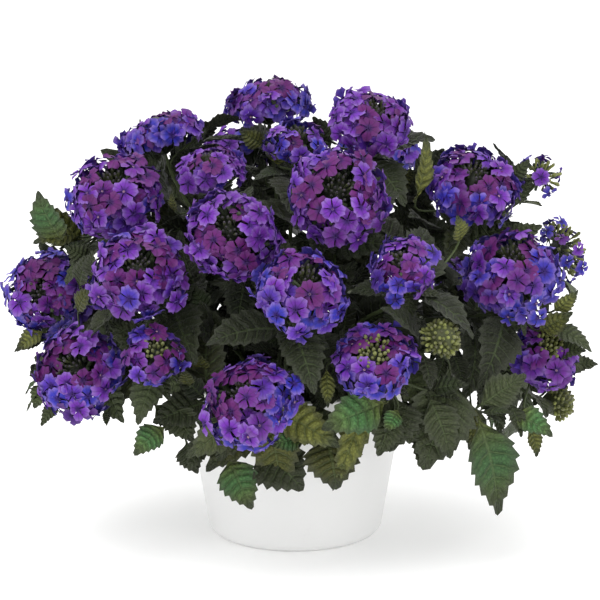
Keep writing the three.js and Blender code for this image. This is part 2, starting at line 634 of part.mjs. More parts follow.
function addNode(name, solid, finish) {
  const material = new THREE.MeshStandardMaterial({ metalness: 0, ...finishes[finish] });
  const mesh = new THREE.Mesh(geometryOf(solid), material);
  mesh.name = name;
  model.add(mesh);
}

const routes = shoots.map(makeRoute);
const potSolid = makePot();
const soilSolid = makeSoil(routes);
const obstacles = [];
const addObstacle = (solid, owner) => obstacles.push({ solid, owner, box: solid.boundingBox() });
addNode("pot", potSolid, "pot");
addNode("soil", soilSolid, "soil");
addObstacle(potSolid);
addObstacle(soilSolid);
const nodes = [];
routes.forEach((route, index) => {
  for (const section of route.sections.filter((one) => one.grown)) nodes.push(Object.assign(section, { owner: index }));
  addObstacle(solidOf(shootMesh(route)), index);
  if (!floretPlans[route.shoot.kind]) return;
  const mesh = headMesh(route.shoot, 100 * index);
  mesh.points = mesh.points.map(placerOnHead(route));
  const solid = solidOf(mesh);
  addNode("head_" + route.shoot.name, solid, "bloom");
  addObstacle(solid);
});

// Free faces of all nodes, the ones that suit a point best first: near enough, facing it, and
// with the way to it lying across the light, so that a leaf there shows its upper side.
function sitesFor(point, best, longest) {
  const light = lightAt(point).normalize();
  return nodes
    .flatMap((section) => [0, 1, 2, 3].map((face) => {
      const chord = point.clone().sub(rootOf(section, face));
      const length = chord.length();
      const way = chord.divideScalar(length);
      const suits = 40 * wayOut(section, face).dot(way) - 50 * Math.abs(way.dot(light)) - Math.abs(length - best);
      return { section, face, length, suits };
    }))
    .filter(({ section, face, length }) => !section.grown[face] && length > 0.5 * best && length < longest)
    .sort((a, b) => b.suits - a.suits);
}

// Grows a twig or leaf on a face of a node if it is clear of all the rest there.
function grow(section, face, growth, close, roomy) {
  if (!isClear(close, roomy, section.owner, obstacles)) return false;
  section.grown[face] = growth;
  addObstacle(close, growth.sections && section.owner);
  return true;
}

function growLeaf(section, face, plan) {
  const beside = section.grown[(face + 1) % 4] || section.grown[(face + 3) % 4];
  if (plan.ahead.dot(wayOut(section, face)) < (beside ? 0.75 : 0.35)) return false;
  const roomy = [0.5, -0.5].map((share) => trialLeaf(plan, leaf.spare, share * leaf.spare));
  return grow(section, face, plan, trialLeaf(plan), roomy);
}

twigEnds.forEach((point) => {
  const end = vector(...point);
  sitesFor(end, 45, 90).some(({ section, face }) => {
    const twig = makeTwig(section, face, end);
    const grew = grow(section, face, twig, trialTwig(twig, 0), [trialTwig(twig, leaf.spare)]);
    if (grew) nodes.push(Object.assign(twig.sections.find((one) => one.grown), { owner: section.owner }));
    return grew;
  });
});
leafTips.forEach((point, k) => {
  const tip = vector(...point);
  const sites = sitesFor(tip, 50, leaf.longest).slice(0, 16);
  leafOptions.some((option) =>
    sites.some(({ section, face }) => growLeaf(section, face, aimedLeaf(section, face, tip, 7 * k, option))));
});
const depthIn = ({ x, y, z }) => Math.hypot(x / mound.x, y / mound.y, (z - mound.middle) / mound.z);
nodes.forEach((section, index) => {
  for (const side of [0, 1]) {
    const face = (section.pair % 2) + 2 * side;
    const seed = 100 * index + 50 * side + 1;
    if (section.grown[face] || depthIn(section.middle) < leaf.shedWithin) continue;
    leafOptions.some((option) => growLeaf(section, face, ruledLeaf(section, face, seed, option)));
  }
});
routes.forEach((route) => addNode("stem_" + route.shoot.name, solidOf(shootMesh(route)), "leaves"));

export default model;
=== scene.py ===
# Potted verbena: shoots where the part has them, with florets, leaves and hairs, a pot and its soil
import json
import math
import random
from itertools import combinations

import bmesh
import bpy
import numpy as np
from mathutils import Matrix, Vector

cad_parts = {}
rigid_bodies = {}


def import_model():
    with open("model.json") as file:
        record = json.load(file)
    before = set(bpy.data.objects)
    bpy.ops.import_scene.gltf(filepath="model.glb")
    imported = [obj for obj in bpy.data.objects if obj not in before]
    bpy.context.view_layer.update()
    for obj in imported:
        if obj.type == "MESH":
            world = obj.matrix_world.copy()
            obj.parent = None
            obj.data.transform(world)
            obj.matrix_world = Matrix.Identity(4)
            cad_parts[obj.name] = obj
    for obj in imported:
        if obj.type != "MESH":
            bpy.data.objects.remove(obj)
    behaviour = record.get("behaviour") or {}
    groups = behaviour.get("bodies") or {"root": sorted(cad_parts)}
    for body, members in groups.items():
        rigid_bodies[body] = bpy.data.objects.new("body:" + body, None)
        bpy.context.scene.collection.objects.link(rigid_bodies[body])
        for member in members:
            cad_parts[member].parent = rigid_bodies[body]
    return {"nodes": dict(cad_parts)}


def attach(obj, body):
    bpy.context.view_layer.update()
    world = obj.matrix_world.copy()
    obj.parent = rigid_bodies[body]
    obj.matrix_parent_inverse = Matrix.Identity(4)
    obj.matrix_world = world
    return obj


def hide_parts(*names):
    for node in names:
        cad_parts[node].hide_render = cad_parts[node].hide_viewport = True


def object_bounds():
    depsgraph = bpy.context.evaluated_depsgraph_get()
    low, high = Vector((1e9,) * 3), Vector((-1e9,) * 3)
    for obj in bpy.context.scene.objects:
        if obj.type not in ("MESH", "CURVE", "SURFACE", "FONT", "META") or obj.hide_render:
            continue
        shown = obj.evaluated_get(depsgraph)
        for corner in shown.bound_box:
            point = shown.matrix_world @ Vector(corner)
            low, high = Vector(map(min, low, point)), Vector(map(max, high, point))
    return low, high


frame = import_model()
cadBox = [list(corner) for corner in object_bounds()]
mm = 0.001
up = np.array([0.0, 0.0, 1.0])


def addToScene(name, data):
    made = bpy.data.objects.new(name, data)
    bpy.context.scene.collection.objects.link(made)
    return made


# Nodes: helpers for placing a node, for sums, and for a tree or a material with named inputs

def place(tree, kind, inputs=None, **settings):
    node = tree.nodes.new(kind)
    for key, value in settings.items():
        setattr(node, key, value)
    for key, value in (inputs or {}).items():
        if isinstance(value, bpy.types.NodeSocket):
            tree.links.new(value, node.inputs[key])
        else:
            node.inputs[key].default_value = value
    return node


def calc(tree, operation, *values, clamp=False):
    node = place(tree, "ShaderNodeMath", dict(enumerate(values)), operation=operation, use_clamp=clamp)
    return node.outputs[0]


def times(tree, a, b):
    return calc(tree, "MULTIPLY", a, b)


def linear(tree, value, slope, start):
    return calc(tree, "MULTIPLY_ADD", value, slope, start)


def vectorOf(tree, x, y, z):
    return place(tree, "ShaderNodeCombineXYZ", {"X": x, "Y": y, "Z": z}).outputs[0]


def vectorCalc(tree, operation, first, second):
    key = "Scale" if operation == "SCALE" else 1
    return place(tree, "ShaderNodeVectorMath", {0: first, key: second}, operation=operation).outputs[0]


def attribute(tree, name, output="Fac"):
    return place(tree, "ShaderNodeAttribute", attribute_name=name).outputs[output]


def band(tree, value, low, high):
    node = place(tree, "ShaderNodeMapRange", {"Value": value, "From Min": low, "From Max": high},
                 interpolation_type="SMOOTHSTEP")
    return node.outputs["Result"]


def blendColors(tree, share, first, second):
    node = place(tree, "ShaderNodeMix", data_type="RGBA")
    for socket, value in zip((0, 6, 7), (share, first, second)):
        if isinstance(value, bpy.types.NodeSocket):
            tree.links.new(value, node.inputs[socket])
        else:
            node.inputs[socket].default_value = (*value, 1)
    return node.outputs[2]


def newTree(name, kind, inputs, outputs):
    tree = bpy.data.node_groups.new(name, kind)
    for label, (sort, value) in inputs.items():
        socket = tree.interface.new_socket(name=label, in_out="INPUT", socket_type="NodeSocket" + sort)
        if value is not None:
            socket.default_value = value
    for label, sort in outputs.items():
        tree.interface.new_socket(name=label, in_out="OUTPUT", socket_type="NodeSocket" + sort)
    start = tree.nodes.new("NodeGroupInput")
    end = tree.nodes.new("NodeGroupOutput")
    return tree, start.outputs, end.inputs


def newMaterial(name, surface):
    material = bpy.data.materials.new(name)
    material.use_nodes = True
    tree = material.node_tree
    shader = tree.nodes["Principled BSDF"]
    for key, value in surface.items():
        shader.inputs[key].default_value = value
    return material, tree, shader


# Camera, light and floor

view = {"aim": (3, 0, 147), "distance": 1500, "elevation": 12, "lens": 145.2}  # millimetres and degrees

studio = {
    "world": 1.0,
    "lights": [  # places and sizes in metres, power in watts
        {"at": (-0.7, -1.2, 1.9), "size": 1.6, "power": 26},
        {"at": (1.2, -1.1, 1.1), "size": 1.6, "power": 9},
        {"at": (0.1, 1.2, 1.7), "size": 1.6, "power": 12},
    ],
    "lightsAim": (0, 0, 0.15),
    "floor": (0.96, 0.96, 0.955),
    "floorPaintedGlow": 0.14,  # painted light: the floor glows a little, which lightens the plant's shadow on it and lights the plant from below
    "floorHalf": 12,  # metres
}


def pointAt(thing, where, aim):
    thing.location = where
    thing.rotation_euler = (Vector(aim) - Vector(where)).to_track_quat("-Z", "Y").to_euler()


def makeCamera():
    scene = bpy.context.scene
    camera = addToScene("camera", bpy.data.cameras.new("camera"))
    camera.data.lens = view["lens"]
    aim = Vector(view["aim"]) * mm
    tilt = math.radians(view["elevation"])
    back = Vector((0, -math.cos(tilt), math.sin(tilt))) * view["distance"] * mm
    pointAt(camera, aim + back, aim)
    scene.camera = camera
    scene.view_settings.view_transform = "Standard"


def makeLights():
    scene = bpy.context.scene
    world = scene.world or bpy.data.worlds.new("studio")
    scene.world = world
    world.use_nodes = True
    background = world.node_tree.nodes["Background"]
    background.inputs["Color"].default_value = (1, 1, 1, 1)
    background.inputs["Strength"].default_value = studio["world"]
    for number, light in enumerate(studio["lights"]):
        data = bpy.data.lights.new("softbox" + str(number), "AREA")
        data.energy = light["power"]
        data.size = light["size"]
        pointAt(addToScene(data.name, data), light["at"], studio["lightsAim"])


def makeFloor():
    half = studio["floorHalf"]
    mesh = bpy.data.meshes.new("floor")
    corners = [(-half, -half, 0), (half, -half, 0), (half, half, 0), (-half, half, 0)]
    mesh.from_pydata(corners, [], [(0, 1, 2, 3)])
    floor = addToScene("floor", mesh)
    # painted light: the floor glows, though it is no lamp
    paint, _, _ = newMaterial("floorPaint", {
        "Base Color": (*studio["floor"], 1),
        "Roughness": 0.7,
        "Emission Color": (1, 1, 1, 1),
        "Emission Strength": studio["floorPaintedGlow"],
    })
    mesh.materials.append(paint)


makeCamera()
makeLights()
makeFloor()
print("studio ready")


# Materials

def makeGrain():
    # mottling and a fine bump for plant tissue, soil and plastic alike
    tree, start, end = newTree(
        "grain", "ShaderNodeTree",
        {"Scale": ("Float", 400), "Detail": ("Float", 3), "Strength": ("Float", 0.3),
         "Depth": ("Float", 0.0002)},
        {"Mottle": "Float", "Normal": "Vector"},
    )
    where = place(tree, "ShaderNodeTexCoord").outputs["Object"]
    fine = place(tree, "ShaderNodeTexNoise",
                 {"Vector": where, "Scale": start["Scale"], "Detail": start["Detail"]})
    wide = place(tree, "ShaderNodeTexNoise", {"Vector": where, "Scale": times(tree, start["Scale"], 0.2)})
    both = calc(tree, "ADD", times(tree, fine.outputs["Fac"], 0.5), times(tree, wide.outputs["Fac"], 0.5))
    bump = place(tree, "ShaderNodeBump", {"Strength": start["Strength"], "Distance": start["Depth"],
                                          "Height": fine.outputs["Fac"]})
    tree.links.new(both, end["Mottle"])
    tree.links.new(bump.outputs["Normal"], end["Normal"])
    return tree


grain = makeGrain()


def addGrain(tree, values):
    node = place(tree, "ShaderNodeGroup", node_tree=grain)
    for key, value in values.items():
        node.inputs[key].default_value = value
    return node.outputs["Mottle"], node.outputs["Normal"]


petalLook = {
    "surface": {"Roughness": 0.6, "Specular IOR Level": 0.25, "Sheen Weight": 0.12, "Sheen Roughness": 0.4,
                "Sheen Tint": (0.6, 0.35, 1, 1)},
    "purple": (0.098, 0.014, 0.245),
    "lilac": (0.22, 0.14, 0.36),
    "plum": (0.095, 0.006, 0.11),
    "violet": (0.02, 0.019, 0.27),
    "under": (0.06, 0.045, 0.3),
    # deep is the colour of the painted shade in a floret's throat
    "deep": (0.022, 0.003, 0.09),
    "eye": (0.42, 0.24, 0.34),
    "blueRing": 0.4,  # where on a dome the share of blue florets is the head's own
    "blueRise": (1.5, 0.2),
    "blueBlend": (-0.25, 0.22),
    "plumRings": (0.45, 0.0),
    "plumShare": (0.6, 0.05),
    "plumBlend": (-0.25, 0.25),
    "rimPlace": (0.5, 1.0),
    "rimShare": (-0.4, 0.5),  # less on plum petals
    "throatShadePlace": (0.5, 0.1),
    "throatShadeShare": 0.85,
    "eyePlace": (0.07, 0.03),
    "eyeLuck": (0.8, 0.86),
    "underShare": 0.8,
    # painted shade along the fold down the middle of each petal
    "foldShade": (0.0, 0.12),
    "streaks": (40.0, 3.0, 50.0),  # across a petal, along it and from floret to floret
    "lightByStreak": 0.7,
    "lightByMottle": (0.7, 0.3),
    "lightByFloret": (0.4, 0.78),
    "shadeInFold": (0.3, 0.75),
    "grain": {"Scale": 700.0, "Strength": 0.35, "Depth": 0.0003},
}


def makePetalMaterial():
    look = petalLook
    material, tree, shader = newMaterial("petal", look["surface"])
    uvMap = place(tree, "ShaderNodeUVMap", uv_map="petalMap")
    uv = place(tree, "ShaderNodeSeparateXYZ", {"Vector": uvMap.outputs["UV"]})
    across, reach = uv.outputs["X"], uv.outputs["Y"]
    ring, luck, blue = attribute(tree, "ring"), attribute(tree, "luck"), attribute(tree, "blue")
    second = calc(tree, "FRACT", times(tree, luck, 17.0))  # one more chance value for each floret
    # a floret is purple or blue-violet: more are blue low on a head, and on some heads; the darker
    # blue-violet low on a head is partly the florets' own colour and partly painted shade
    rise = linear(tree, blue, *look["blueRise"])
    shareBlue = linear(tree, calc(tree, "SUBTRACT", ring, look["blueRing"]), rise, blue)
    bluer = band(tree, calc(tree, "SUBTRACT", shareBlue, luck), *look["blueBlend"])
    base = blendColors(tree, bluer, look["purple"], look["violet"])
    # many round the buds, and a few others, are plum: partly the florets' own colour and partly painted shade
    # round the head's centre
    sharePlum = linear(tree, band(tree, ring, *look["plumRings"]), *look["plumShare"])
    redder = band(tree, calc(tree, "SUBTRACT", sharePlum, second), *look["plumBlend"])
    base = blendColors(tree, redder, base, look["plum"])
    # petals pale towards the rim, darken towards the throat in painted shade, and a few have a pale eye
    rim = times(tree, band(tree, reach, *look["rimPlace"]), linear(tree, redder, *look["rimShare"]))
    base = blendColors(tree, rim, base, look["lilac"])
    throat = times(tree, band(tree, reach, *look["throatShadePlace"]), look["throatShadeShare"])
    base = blendColors(tree, throat, base, look["deep"])
    eye = times(tree, band(tree, reach, *look["eyePlace"]), band(tree, luck, *look["eyeLuck"]))
    base = blendColors(tree, eye, base, look["eye"])
    # on petals "blade" marks the under side
    under = times(tree, attribute(tree, "blade"), look["underShare"])
    base = blendColors(tree, under, base, look["under"])
    # painted shade darkens the fold down the middle of each petal; fine streaks run along it
    foldShade = band(tree, calc(tree, "ABSOLUTE", calc(tree, "SUBTRACT", across, 0.5)), *look["foldShade"])
    lines = vectorOf(tree, *[times(tree, *pair) for pair in zip((across, reach, luck), look["streaks"])])
    streak = place(tree, "ShaderNodeTexNoise", {"Vector": lines, "Scale": 1.0, "Detail": 1.0})
    mottle, relief = addGrain(tree, look["grain"])
    mottled = linear(tree, mottle, *look["lightByMottle"])
    bright = linear(tree, streak.outputs["Fac"], look["lightByStreak"], mottled)
    bright = times(tree, bright, linear(tree, second, *look["lightByFloret"]))
    bright = times(tree, bright, linear(tree, foldShade, *look["shadeInFold"]))
    tree.links.new(vectorCalc(tree, "SCALE", base, bright), shader.inputs["Base Color"])
    tree.links.new(relief, shader.inputs["Normal"])
    return material


greenLook = {
    "surface": {"Specular IOR Level": 0.22, "Sheen Weight": 0.05, "Sheen Roughness": 0.5},
    "leaf": (0.037, 0.047, 0.0185),
    # fresh and olive are partly the leaves' own tones and partly painted light, brighter where leaves catch
    # the light
    "fresh": (0.045, 0.115, 0.036),
    "olive": (0.085, 0.092, 0.02),
    "vein": (0.085, 0.12, 0.045),
    "margin": (0.045, 0.05, 0.034),
    "stem": (0.06, 0.08, 0.03),
    "calyx": (0.045, 0.06, 0.03),
    # painted shade: the near-black tint of the core inside a head
    "paintedShadeCore": (0.02, 0.024, 0.014),
    "bud": (0.07, 0.08, 0.03),
    "paleBud": (0.19, 0.21, 0.06),
    "budTip": (0.05, 0.02, 0.1),
    "sideVeins": 8.75,  # for a leaf's whole length: one at each of 7 teeth, on 0.8 of it
    "veinLean": 0.12,
    "veinWander": 0.05,
    "midrib": (0.1, 0.03),
    "sideVein": (0.13, 0.03),
    "sideVeinEnd": (1.1, 0.3),
    "pillow": (0.05, 0.4),
    "cells": 420.0,
    "cellWall": (0.0, 0.3),
    "lightByMottle": (1.3, 0.35),
    "lightByLeaf": (1.1, 0.5),
    # painted shade in the dips by the veins and along the cell walls
    "shadeByCell": (0.35, 0.8),
    "shadeByPillow": (0.24, 0.88),
    "marginPlace": (0.55, 1.0),
    "marginShare": 0.55,
    "tipPlace": (0.72, 1.0),
    "tipShare": 0.6,
    "veinShare": 0.4,
    "cellHeight": 0.35,
    "quilting": {"Strength": 0.85, "Distance": 0.0009},
    "roughness": (0.3, 0.36),
    "grain": {"Scale": 600.0, "Strength": 0.5, "Depth": 0.0003},
}


def makeGreenMaterial():
    look = greenLook
    material, tree, shader = newMaterial("foliage", look["surface"])
    uvMap = place(tree, "ShaderNodeUVMap", uv_map="bladeMap")
    uv = place(tree, "ShaderNodeSeparateXYZ", {"Vector": uvMap.outputs["UV"]})
    across, along = uv.outputs["X"], uv.outputs["Y"]
    blade, luck = attribute(tree, "blade"), attribute(tree, "luck")
    # midrib and side veins: side veins lean forward from the midrib to each tooth
    off = calc(tree, "ABSOLUTE", linear(tree, across, 2.0, -1.0))
    midrib = band(tree, off, *look["midrib"])
    wander = place(tree, "ShaderNodeTexNoise", {"Vector": uvMap.outputs["UV"], "Scale": 5.0, "Detail": 1.0})
    leant = calc(tree, "SUBTRACT", along, times(tree, off, look["veinLean"]))
    veinPlace = linear(tree, wander.outputs["Fac"], look["veinWander"], leant)
    phase = times(tree, veinPlace, look["sideVeins"])
    tooth = calc(tree, "ABSOLUTE", calc(tree, "SUBTRACT", calc(tree, "FRACT", phase), 0.5))
    sideVein = times(tree, band(tree, tooth, *look["sideVein"]), band(tree, off, *look["sideVeinEnd"]))
    vein = calc(tree, "MULTIPLY", calc(tree, "MAXIMUM", midrib, sideVein), blade, clamp=True)
    # the leaf bulges between its side veins and has a net of fine cells; its colour is darker in the dips by
    # the veins and along the cell walls, a painted shade
    pillow = times(tree, band(tree, tooth, *look["pillow"]), blade)
    where = place(tree, "ShaderNodeTexCoord").outputs["Object"]
    net = place(tree, "ShaderNodeTexVoronoi", {"Vector": where, "Scale": look["cells"]},
                feature="DISTANCE_TO_EDGE")
    cell = times(tree, band(tree, net.outputs["Distance"], *look["cellWall"]), blade)
    mottle, relief = addGrain(tree, look["grain"])
    bright = linear(tree, mottle, *look["lightByMottle"])
    bright = times(tree, bright, linear(tree, luck, *look["lightByLeaf"]))
    bright = times(tree, bright, linear(tree, cell, *look["shadeByCell"]))
    bright = times(tree, bright, linear(tree, pillow, *look["shadeByPillow"]))
    # the tint attribute holds each leaf's colour with the painted shade of its place
    base = vectorCalc(tree, "SCALE", attribute(tree, "tint", "Color"), bright)
    # margin and tip are duller, veins paler
    edge = times(tree, band(tree, off, *look["marginPlace"]), times(tree, blade, look["marginShare"]))
    tipEnd = times(tree, band(tree, along, *look["tipPlace"]), times(tree, blade, look["tipShare"]))
    base = blendColors(tree, calc(tree, "MAXIMUM", edge, tipEnd), base, look["margin"])
    base = blendColors(tree, times(tree, vein, look["veinShare"]), base, look["vein"])
    height = linear(tree, cell, look["cellHeight"], linear(tree, vein, -1.0, pillow))
    quilted = times(tree, blade, look["quilting"]["Strength"])
    bump = place(tree, "ShaderNodeBump", {"Strength": quilted, "Distance": look["quilting"]["Distance"],
                                          "Height": height, "Normal": relief})
    tree.links.new(base, shader.inputs["Base Color"])
    tree.links.new(bump.outputs["Normal"], shader.inputs["Normal"])
    tree.links.new(linear(tree, mottle, *look["roughness"]), shader.inputs["Roughness"])
    return material


potLook = {
    "plain": (0.79, 0.79, 0.785),
    "scuffed": (0.7, 0.69, 0.68),
    "scuffs": (0.62, 0.75),  # the mottle at which a scuff begins and is full
    "scuffShare": 0.25,
    "roughness": (0.2, 0.38),
    "grain": {"Scale": 260.0, "Strength": 0.12, "Depth": 0.0002},
}


def makePotMaterial():
    look = potLook
    material, tree, shader = newMaterial("whitePlastic", {})
    mottle, relief = addGrain(tree, look["grain"])
    scuff = band(tree, mottle, *look["scuffs"])
    base = blendColors(tree, times(tree, scuff, look["scuffShare"]), look["plain"], look["scuffed"])
    tree.links.new(base, shader.inputs["Base Color"])
    tree.links.new(linear(tree, scuff, *look["roughness"]), shader.inputs["Roughness"])
    tree.links.new(relief, shader.inputs["Normal"])
    return material


soilLook = {
    "surface": {"Roughness": 0.95},
    "peat": (0.012, 0.008, 0.006),
    "bark": (0.07, 0.042, 0.026),
    "grit": (0.55, 0.53, 0.48),
    "gritLuck": (0.9, 0.94),  # crumbs above this luck are pale grit
    "grain": {"Scale": 500.0, "Strength": 0.9, "Depth": 0.0008},
}


def makeSoilMaterial():
    look = soilLook
    material, tree, shader = newMaterial("pottingMix", look["surface"])
    mottle, relief = addGrain(tree, look["grain"])
    dark = blendColors(tree, mottle, look["peat"], look["bark"])
    base = blendColors(tree, band(tree, attribute(tree, "luck"), *look["gritLuck"]), dark, look["grit"])
    tree.links.new(base, shader.inputs["Base Color"])
    tree.links.new(relief, shader.inputs["Normal"])
    return material


petal = makePetalMaterial()
foliage = makeGreenMaterial()
plastic = makePotMaterial()
pottingMix = makeSoilMaterial()
print("materials ready")


# A mesh is gathered in lists: points in millimetres, faces, and what the materials read

def newSketch():
    return {"points": [], "faces": [], "uv": [], "tint": [], "blade": [], "luck": [], "count": 0}


def addPoints(sketch, points, uv, tint, blade, luck):
    first = sketch["count"]
    points = np.asarray(points, float).reshape(-1, 3)
    count = len(points)
    sketch["points"].append(points)
    sketch["uv"].append(np.broadcast_to(np.asarray(uv, float), (count, 2)))
    sketch["tint"].append(np.broadcast_to(np.asarray(tint, float), (count, 3)))
    sketch["blade"].append(np.broadcast_to(float(blade), count))
    sketch["luck"].append(np.broadcast_to(float(luck), count))
    sketch["count"] += count
    return first


def meshOf(sketch, name, mapName, material, sharp=55, layers=("blade", "luck")):
    mesh = bpy.data.meshes.new(name)
    points = np.concatenate(sketch["points"]) * mm
    mesh.from_pydata(points.tolist(), [], sketch["faces"])
    corners = np.empty(len(mesh.loops), np.int32)
    mesh.loops.foreach_get("vertex_index", corners)
    layer = mesh.uv_layers.new(name=mapName)
    layer.data.foreach_set("uv", np.concatenate(sketch["uv"])[corners].astype(np.float32).ravel())
    tint = mesh.attributes.new("tint", "FLOAT_COLOR", "POINT")
    colors = np.concatenate(sketch["tint"])
    tint.data.foreach_set("color", np.column_stack([colors, np.ones(len(colors))]).astype(np.float32).ravel())
    for key in layers:
        layer = mesh.attributes.new(key, "FLOAT", "POINT")
        layer.data.foreach_set("value", np.concatenate(sketch[key]).astype(np.float32))
    bm = bmesh.new()
    bm.from_mesh(mesh)
    bmesh.ops.recalc_face_normals(bm, faces=bm.faces)
    bm.to_mesh(mesh)
    bm.free()
    mesh.polygons.foreach_set("use_smooth", [True] * len(mesh.polygons))
    mesh.set_sharp_from_angle(angle=math.radians(sharp))
    mesh.materials.append(material)
    return mesh


def unit(v):
    return v / np.linalg.norm(v)


def axesAlong(direction):
    w = unit(np.asarray(direction, float))
    helper = up if abs(w[2]) < 0.9 else np.array([1.0, 0, 0])
    u = unit(np.cross(helper, w))
    return u, np.cross(w, u), w


def bezier(handles, steps):
    fine = np.linspace(0, 1, steps)[:, None]
    return sum(math.comb(3, k) * fine**k * (1 - fine) ** (3 - k) * handle for k, handle in enumerate(handles))


def walkedAlong(points):
    # how far along the line of points each of them is
    return np.concatenate([[0], np.cumsum(np.linalg.norm(np.diff(points, axis=0), axis=1))])


def pointsAt(distances, walked, points):
    return np.column_stack([np.interp(distances, walked, points[:, k]) for k in range(3)])


def sweep(sketch, centres, radii, start, sides=8, edge=0.1, **look):
    # a closed tube through the centres; its section is a square with rounded corners when edge > 0
    centres = np.asarray(centres, float)
    headings = np.gradient(centres, axis=0)
    across = np.asarray(start, float)
    rings = []
    for centre, heading, radius in zip(centres, headings, radii):
        heading = unit(heading)
        across = unit(across - heading * across.dot(heading))
        other = np.cross(heading, across)
        angles = 2 * math.pi * (np.arange(sides) + 0.5) / sides
        reach = radius * (1 - edge * np.cos(4 * angles))
        ring = centre + np.outer(reach * np.cos(angles), across) + np.outer(reach * np.sin(angles), other)
        rings.append(addPoints(sketch, ring, (0, 0), **look))
    for a, b in zip(rings, rings[1:]):
        for k in range(sides):
            n = (k + 1) % sides
            sketch["faces"].append((a + k, a + n, b + n, b + k))
    sketch["faces"].append(tuple(rings[0] + k for k in reversed(range(sides))))
    sketch["faces"].append(tuple(rings[-1] + k for k in range(sides)))


# Shoots, with their heads as in the part, a few of them up to 1 mm smaller

shootKeys = ("name", "at", "radius", "face", "kind", "blue", "flat")
# blue is how blue the florets are, and flat is the dome's height for each millimetre of radius
shootRows = [
    ("01", (-108, -36, 216), 30, (-0.1, -0.55, 0.83), "open", 0.2, 0.77),
    ("02", (-84, 17, 247), 27.5, (-0.3, 0.1, 0.95), "open", 0.45, 0.48),
    ("03", (-50, -28, 232), 22, (-0.1, -0.2, 1), "small", 0.15, 0.6),
    ("04", (-17, 20, 265), 26, (-0.1, 0, 1), "open", 0.5, 0.68),
    ("05", (1, -37, 249), 19, (0.15, -0.45, 0.86), "small", 0.7, 0.75),
    ("06", (46, -19, 260), 25.5, (0.17, -0.5, 0.82), "small", 0.02, 0.66),
    ("07", (24, -86, 226), 30.5, (0.1, -0.85, 0.5), "open", 0.0, 0.8),
    ("08", (-37, -94, 205), 27.5, (-0.05, -0.9, 0.42), "open", -0.08, 0.85),
    ("09", (-91, -90, 181), 29, (0, -0.76, 0.6), "open", 0.18, 0.74),
    ("10", (-151, -8, 152), 28, (-0.25, -0.85, 0.4), "small", 0.7, 0.85),
    ("11", (-127, -80, 120), 28.5, (-0.3, -0.82, 0.45), "open", 0.45, 0.85),
    ("12", (-81, -107, 137), 18, (0.05, -0.75, 0.6), "young", 0.45, 0.7),
    ("13", (3, -128, 177), 27.5, (0.2, -0.55, 0.82), "open", 0.44, 0.85),
    ("14", (-25, -137, 115), 29.5, (-0.35, -0.6, 0.73), "open", 0.5, 0.85),
    ("15", (62, -108, 188), 21, (-0.3, -0.6, 0.75), "small", 0.38, 0.72),
    ("16", (45, -129, 138), 24.5, (-0.1, -0.7, 0.7), "young", 0.7, 0.66),
    ("17", (108, -17, 220), 29, (0.2, -0.6, 0.78), "open", 0.4, 0.7),
    ("18", (130, -52, 172), 30.5, (-0.05, -0.55, 0.83), "open", 0.75, 0.8),
    ("19", (150, -28, 118), 23, (0.4, -0.6, 0.7), "young", 0.3, 0.75),
    ("20", (166, 32, 172), 22, (0.9, 0, 0.45), "sparse", 0.65, 0.85),
    ("21", (-112, 66, 190), 27, (-0.6, 0.4, 0.7), "small", 0.25, 0.85),
    ("22", (-36, 90, 224), 28, (-0.2, 0.5, 0.84), "small", 0.15, 0.6),
    ("23", (54, 82, 226), 27, (0.3, 0.45, 0.84), "small", 0.4, 0.85),
    ("24", (-132, 74, 124), 26, (-0.75, 0.45, 0.5), "small", 0.45, 0.85),
    ("25", (-60, 126, 158), 28, (-0.3, 0.8, 0.5), "small", 0.2, 0.85),
    ("26", (36, 130, 168), 28, (0.2, 0.8, 0.55), "small", 0.3, 0.85),
    ("27", (112, 98, 128), 26, (0.6, 0.65, 0.5), "small", 0.4, 0.85),
    ("28", (84, -112, 148), 12, (0.4, -0.7, 0.6), "budded", 0, 0.85),
    ("29", (163, -8, 84), 12, (0.9, -0.25, 0.3), "budded", 0, 0.85),
    ("30", (151, 8, 222), 16, (0.5, -0.4, 0.75), "sparse", 0.65, 0.85),
]
shoots = [dict(zip(shootKeys, row)) for row in shootRows]

stemShape = {
    "soilTop": 87,
    "holeRise": 2,
    "spread": 47,  # radius of the ring of holes that the lowest stems use
    "rise": 62,
    "riseLow": (0.75, 0.5),  # share of the rise, and how much more the lowest stems have
    "reach": 38,
    "overPot": 110,  # a stem comes to its head no lower than this
    "belowHead": 0.62,  # its end, as a share of the height of the part's dome
    "flat": 0.85,  # that dome's height for each millimetre of radius
    "inHead": {"open": 0.42, "small": 0.42, "sparse": 0.42, "young": 0.32, "budded": -0.7},
    "rootDepth": 22,
    "rootHalf": 1.55,
    "tipHalf": 1.1,
    "edge": 0.12,  # how far the corners of the square section stand out
    "twigHalves": (1.15, 0.45),
    "stalkHalves": (0.75, 0.6),
    "nodeSwell": 0.35,
    "nodeReach": 3.0,
    "pairs": (66, 38, 13),  # distances of the leaf pairs from the head
    "innerPairs": (90, 112, 134, 156),  # older pairs inside the mound
    "steps": 26,
}


def routeOf(shoot):
    shape = stemShape
    at = np.array(shoot["at"], float)
    face = unit(np.array(shoot["face"], float))
    crown = np.array([0, 0, shape["soilTop"]], float)
    outward = at - crown
    level = outward * (1, 1, 0)
    low = np.linalg.norm(level) / np.linalg.norm(outward)
    hole = unit(level) * shape["spread"] * low + up * (shape["soilTop"] + shape["holeRise"])
    below = shape["belowHead"] if shoot["kind"] != "budded" else 1
    end = at - face * below * shoot["radius"] * shape["flat"]
    before = end - face * shape["reach"]
    before[2] = max(before[2], shape["overPot"])
    least, more = shape["riseLow"]
    curve = bezier((hole, hole + up * shape["rise"] * (least + more * low), before, end), 400)
    walked = walkedAlong(curve)
    return {"at": at, "face": face, "hole": hole, "curve": curve, "walked": walked, "length": walked[-1]}


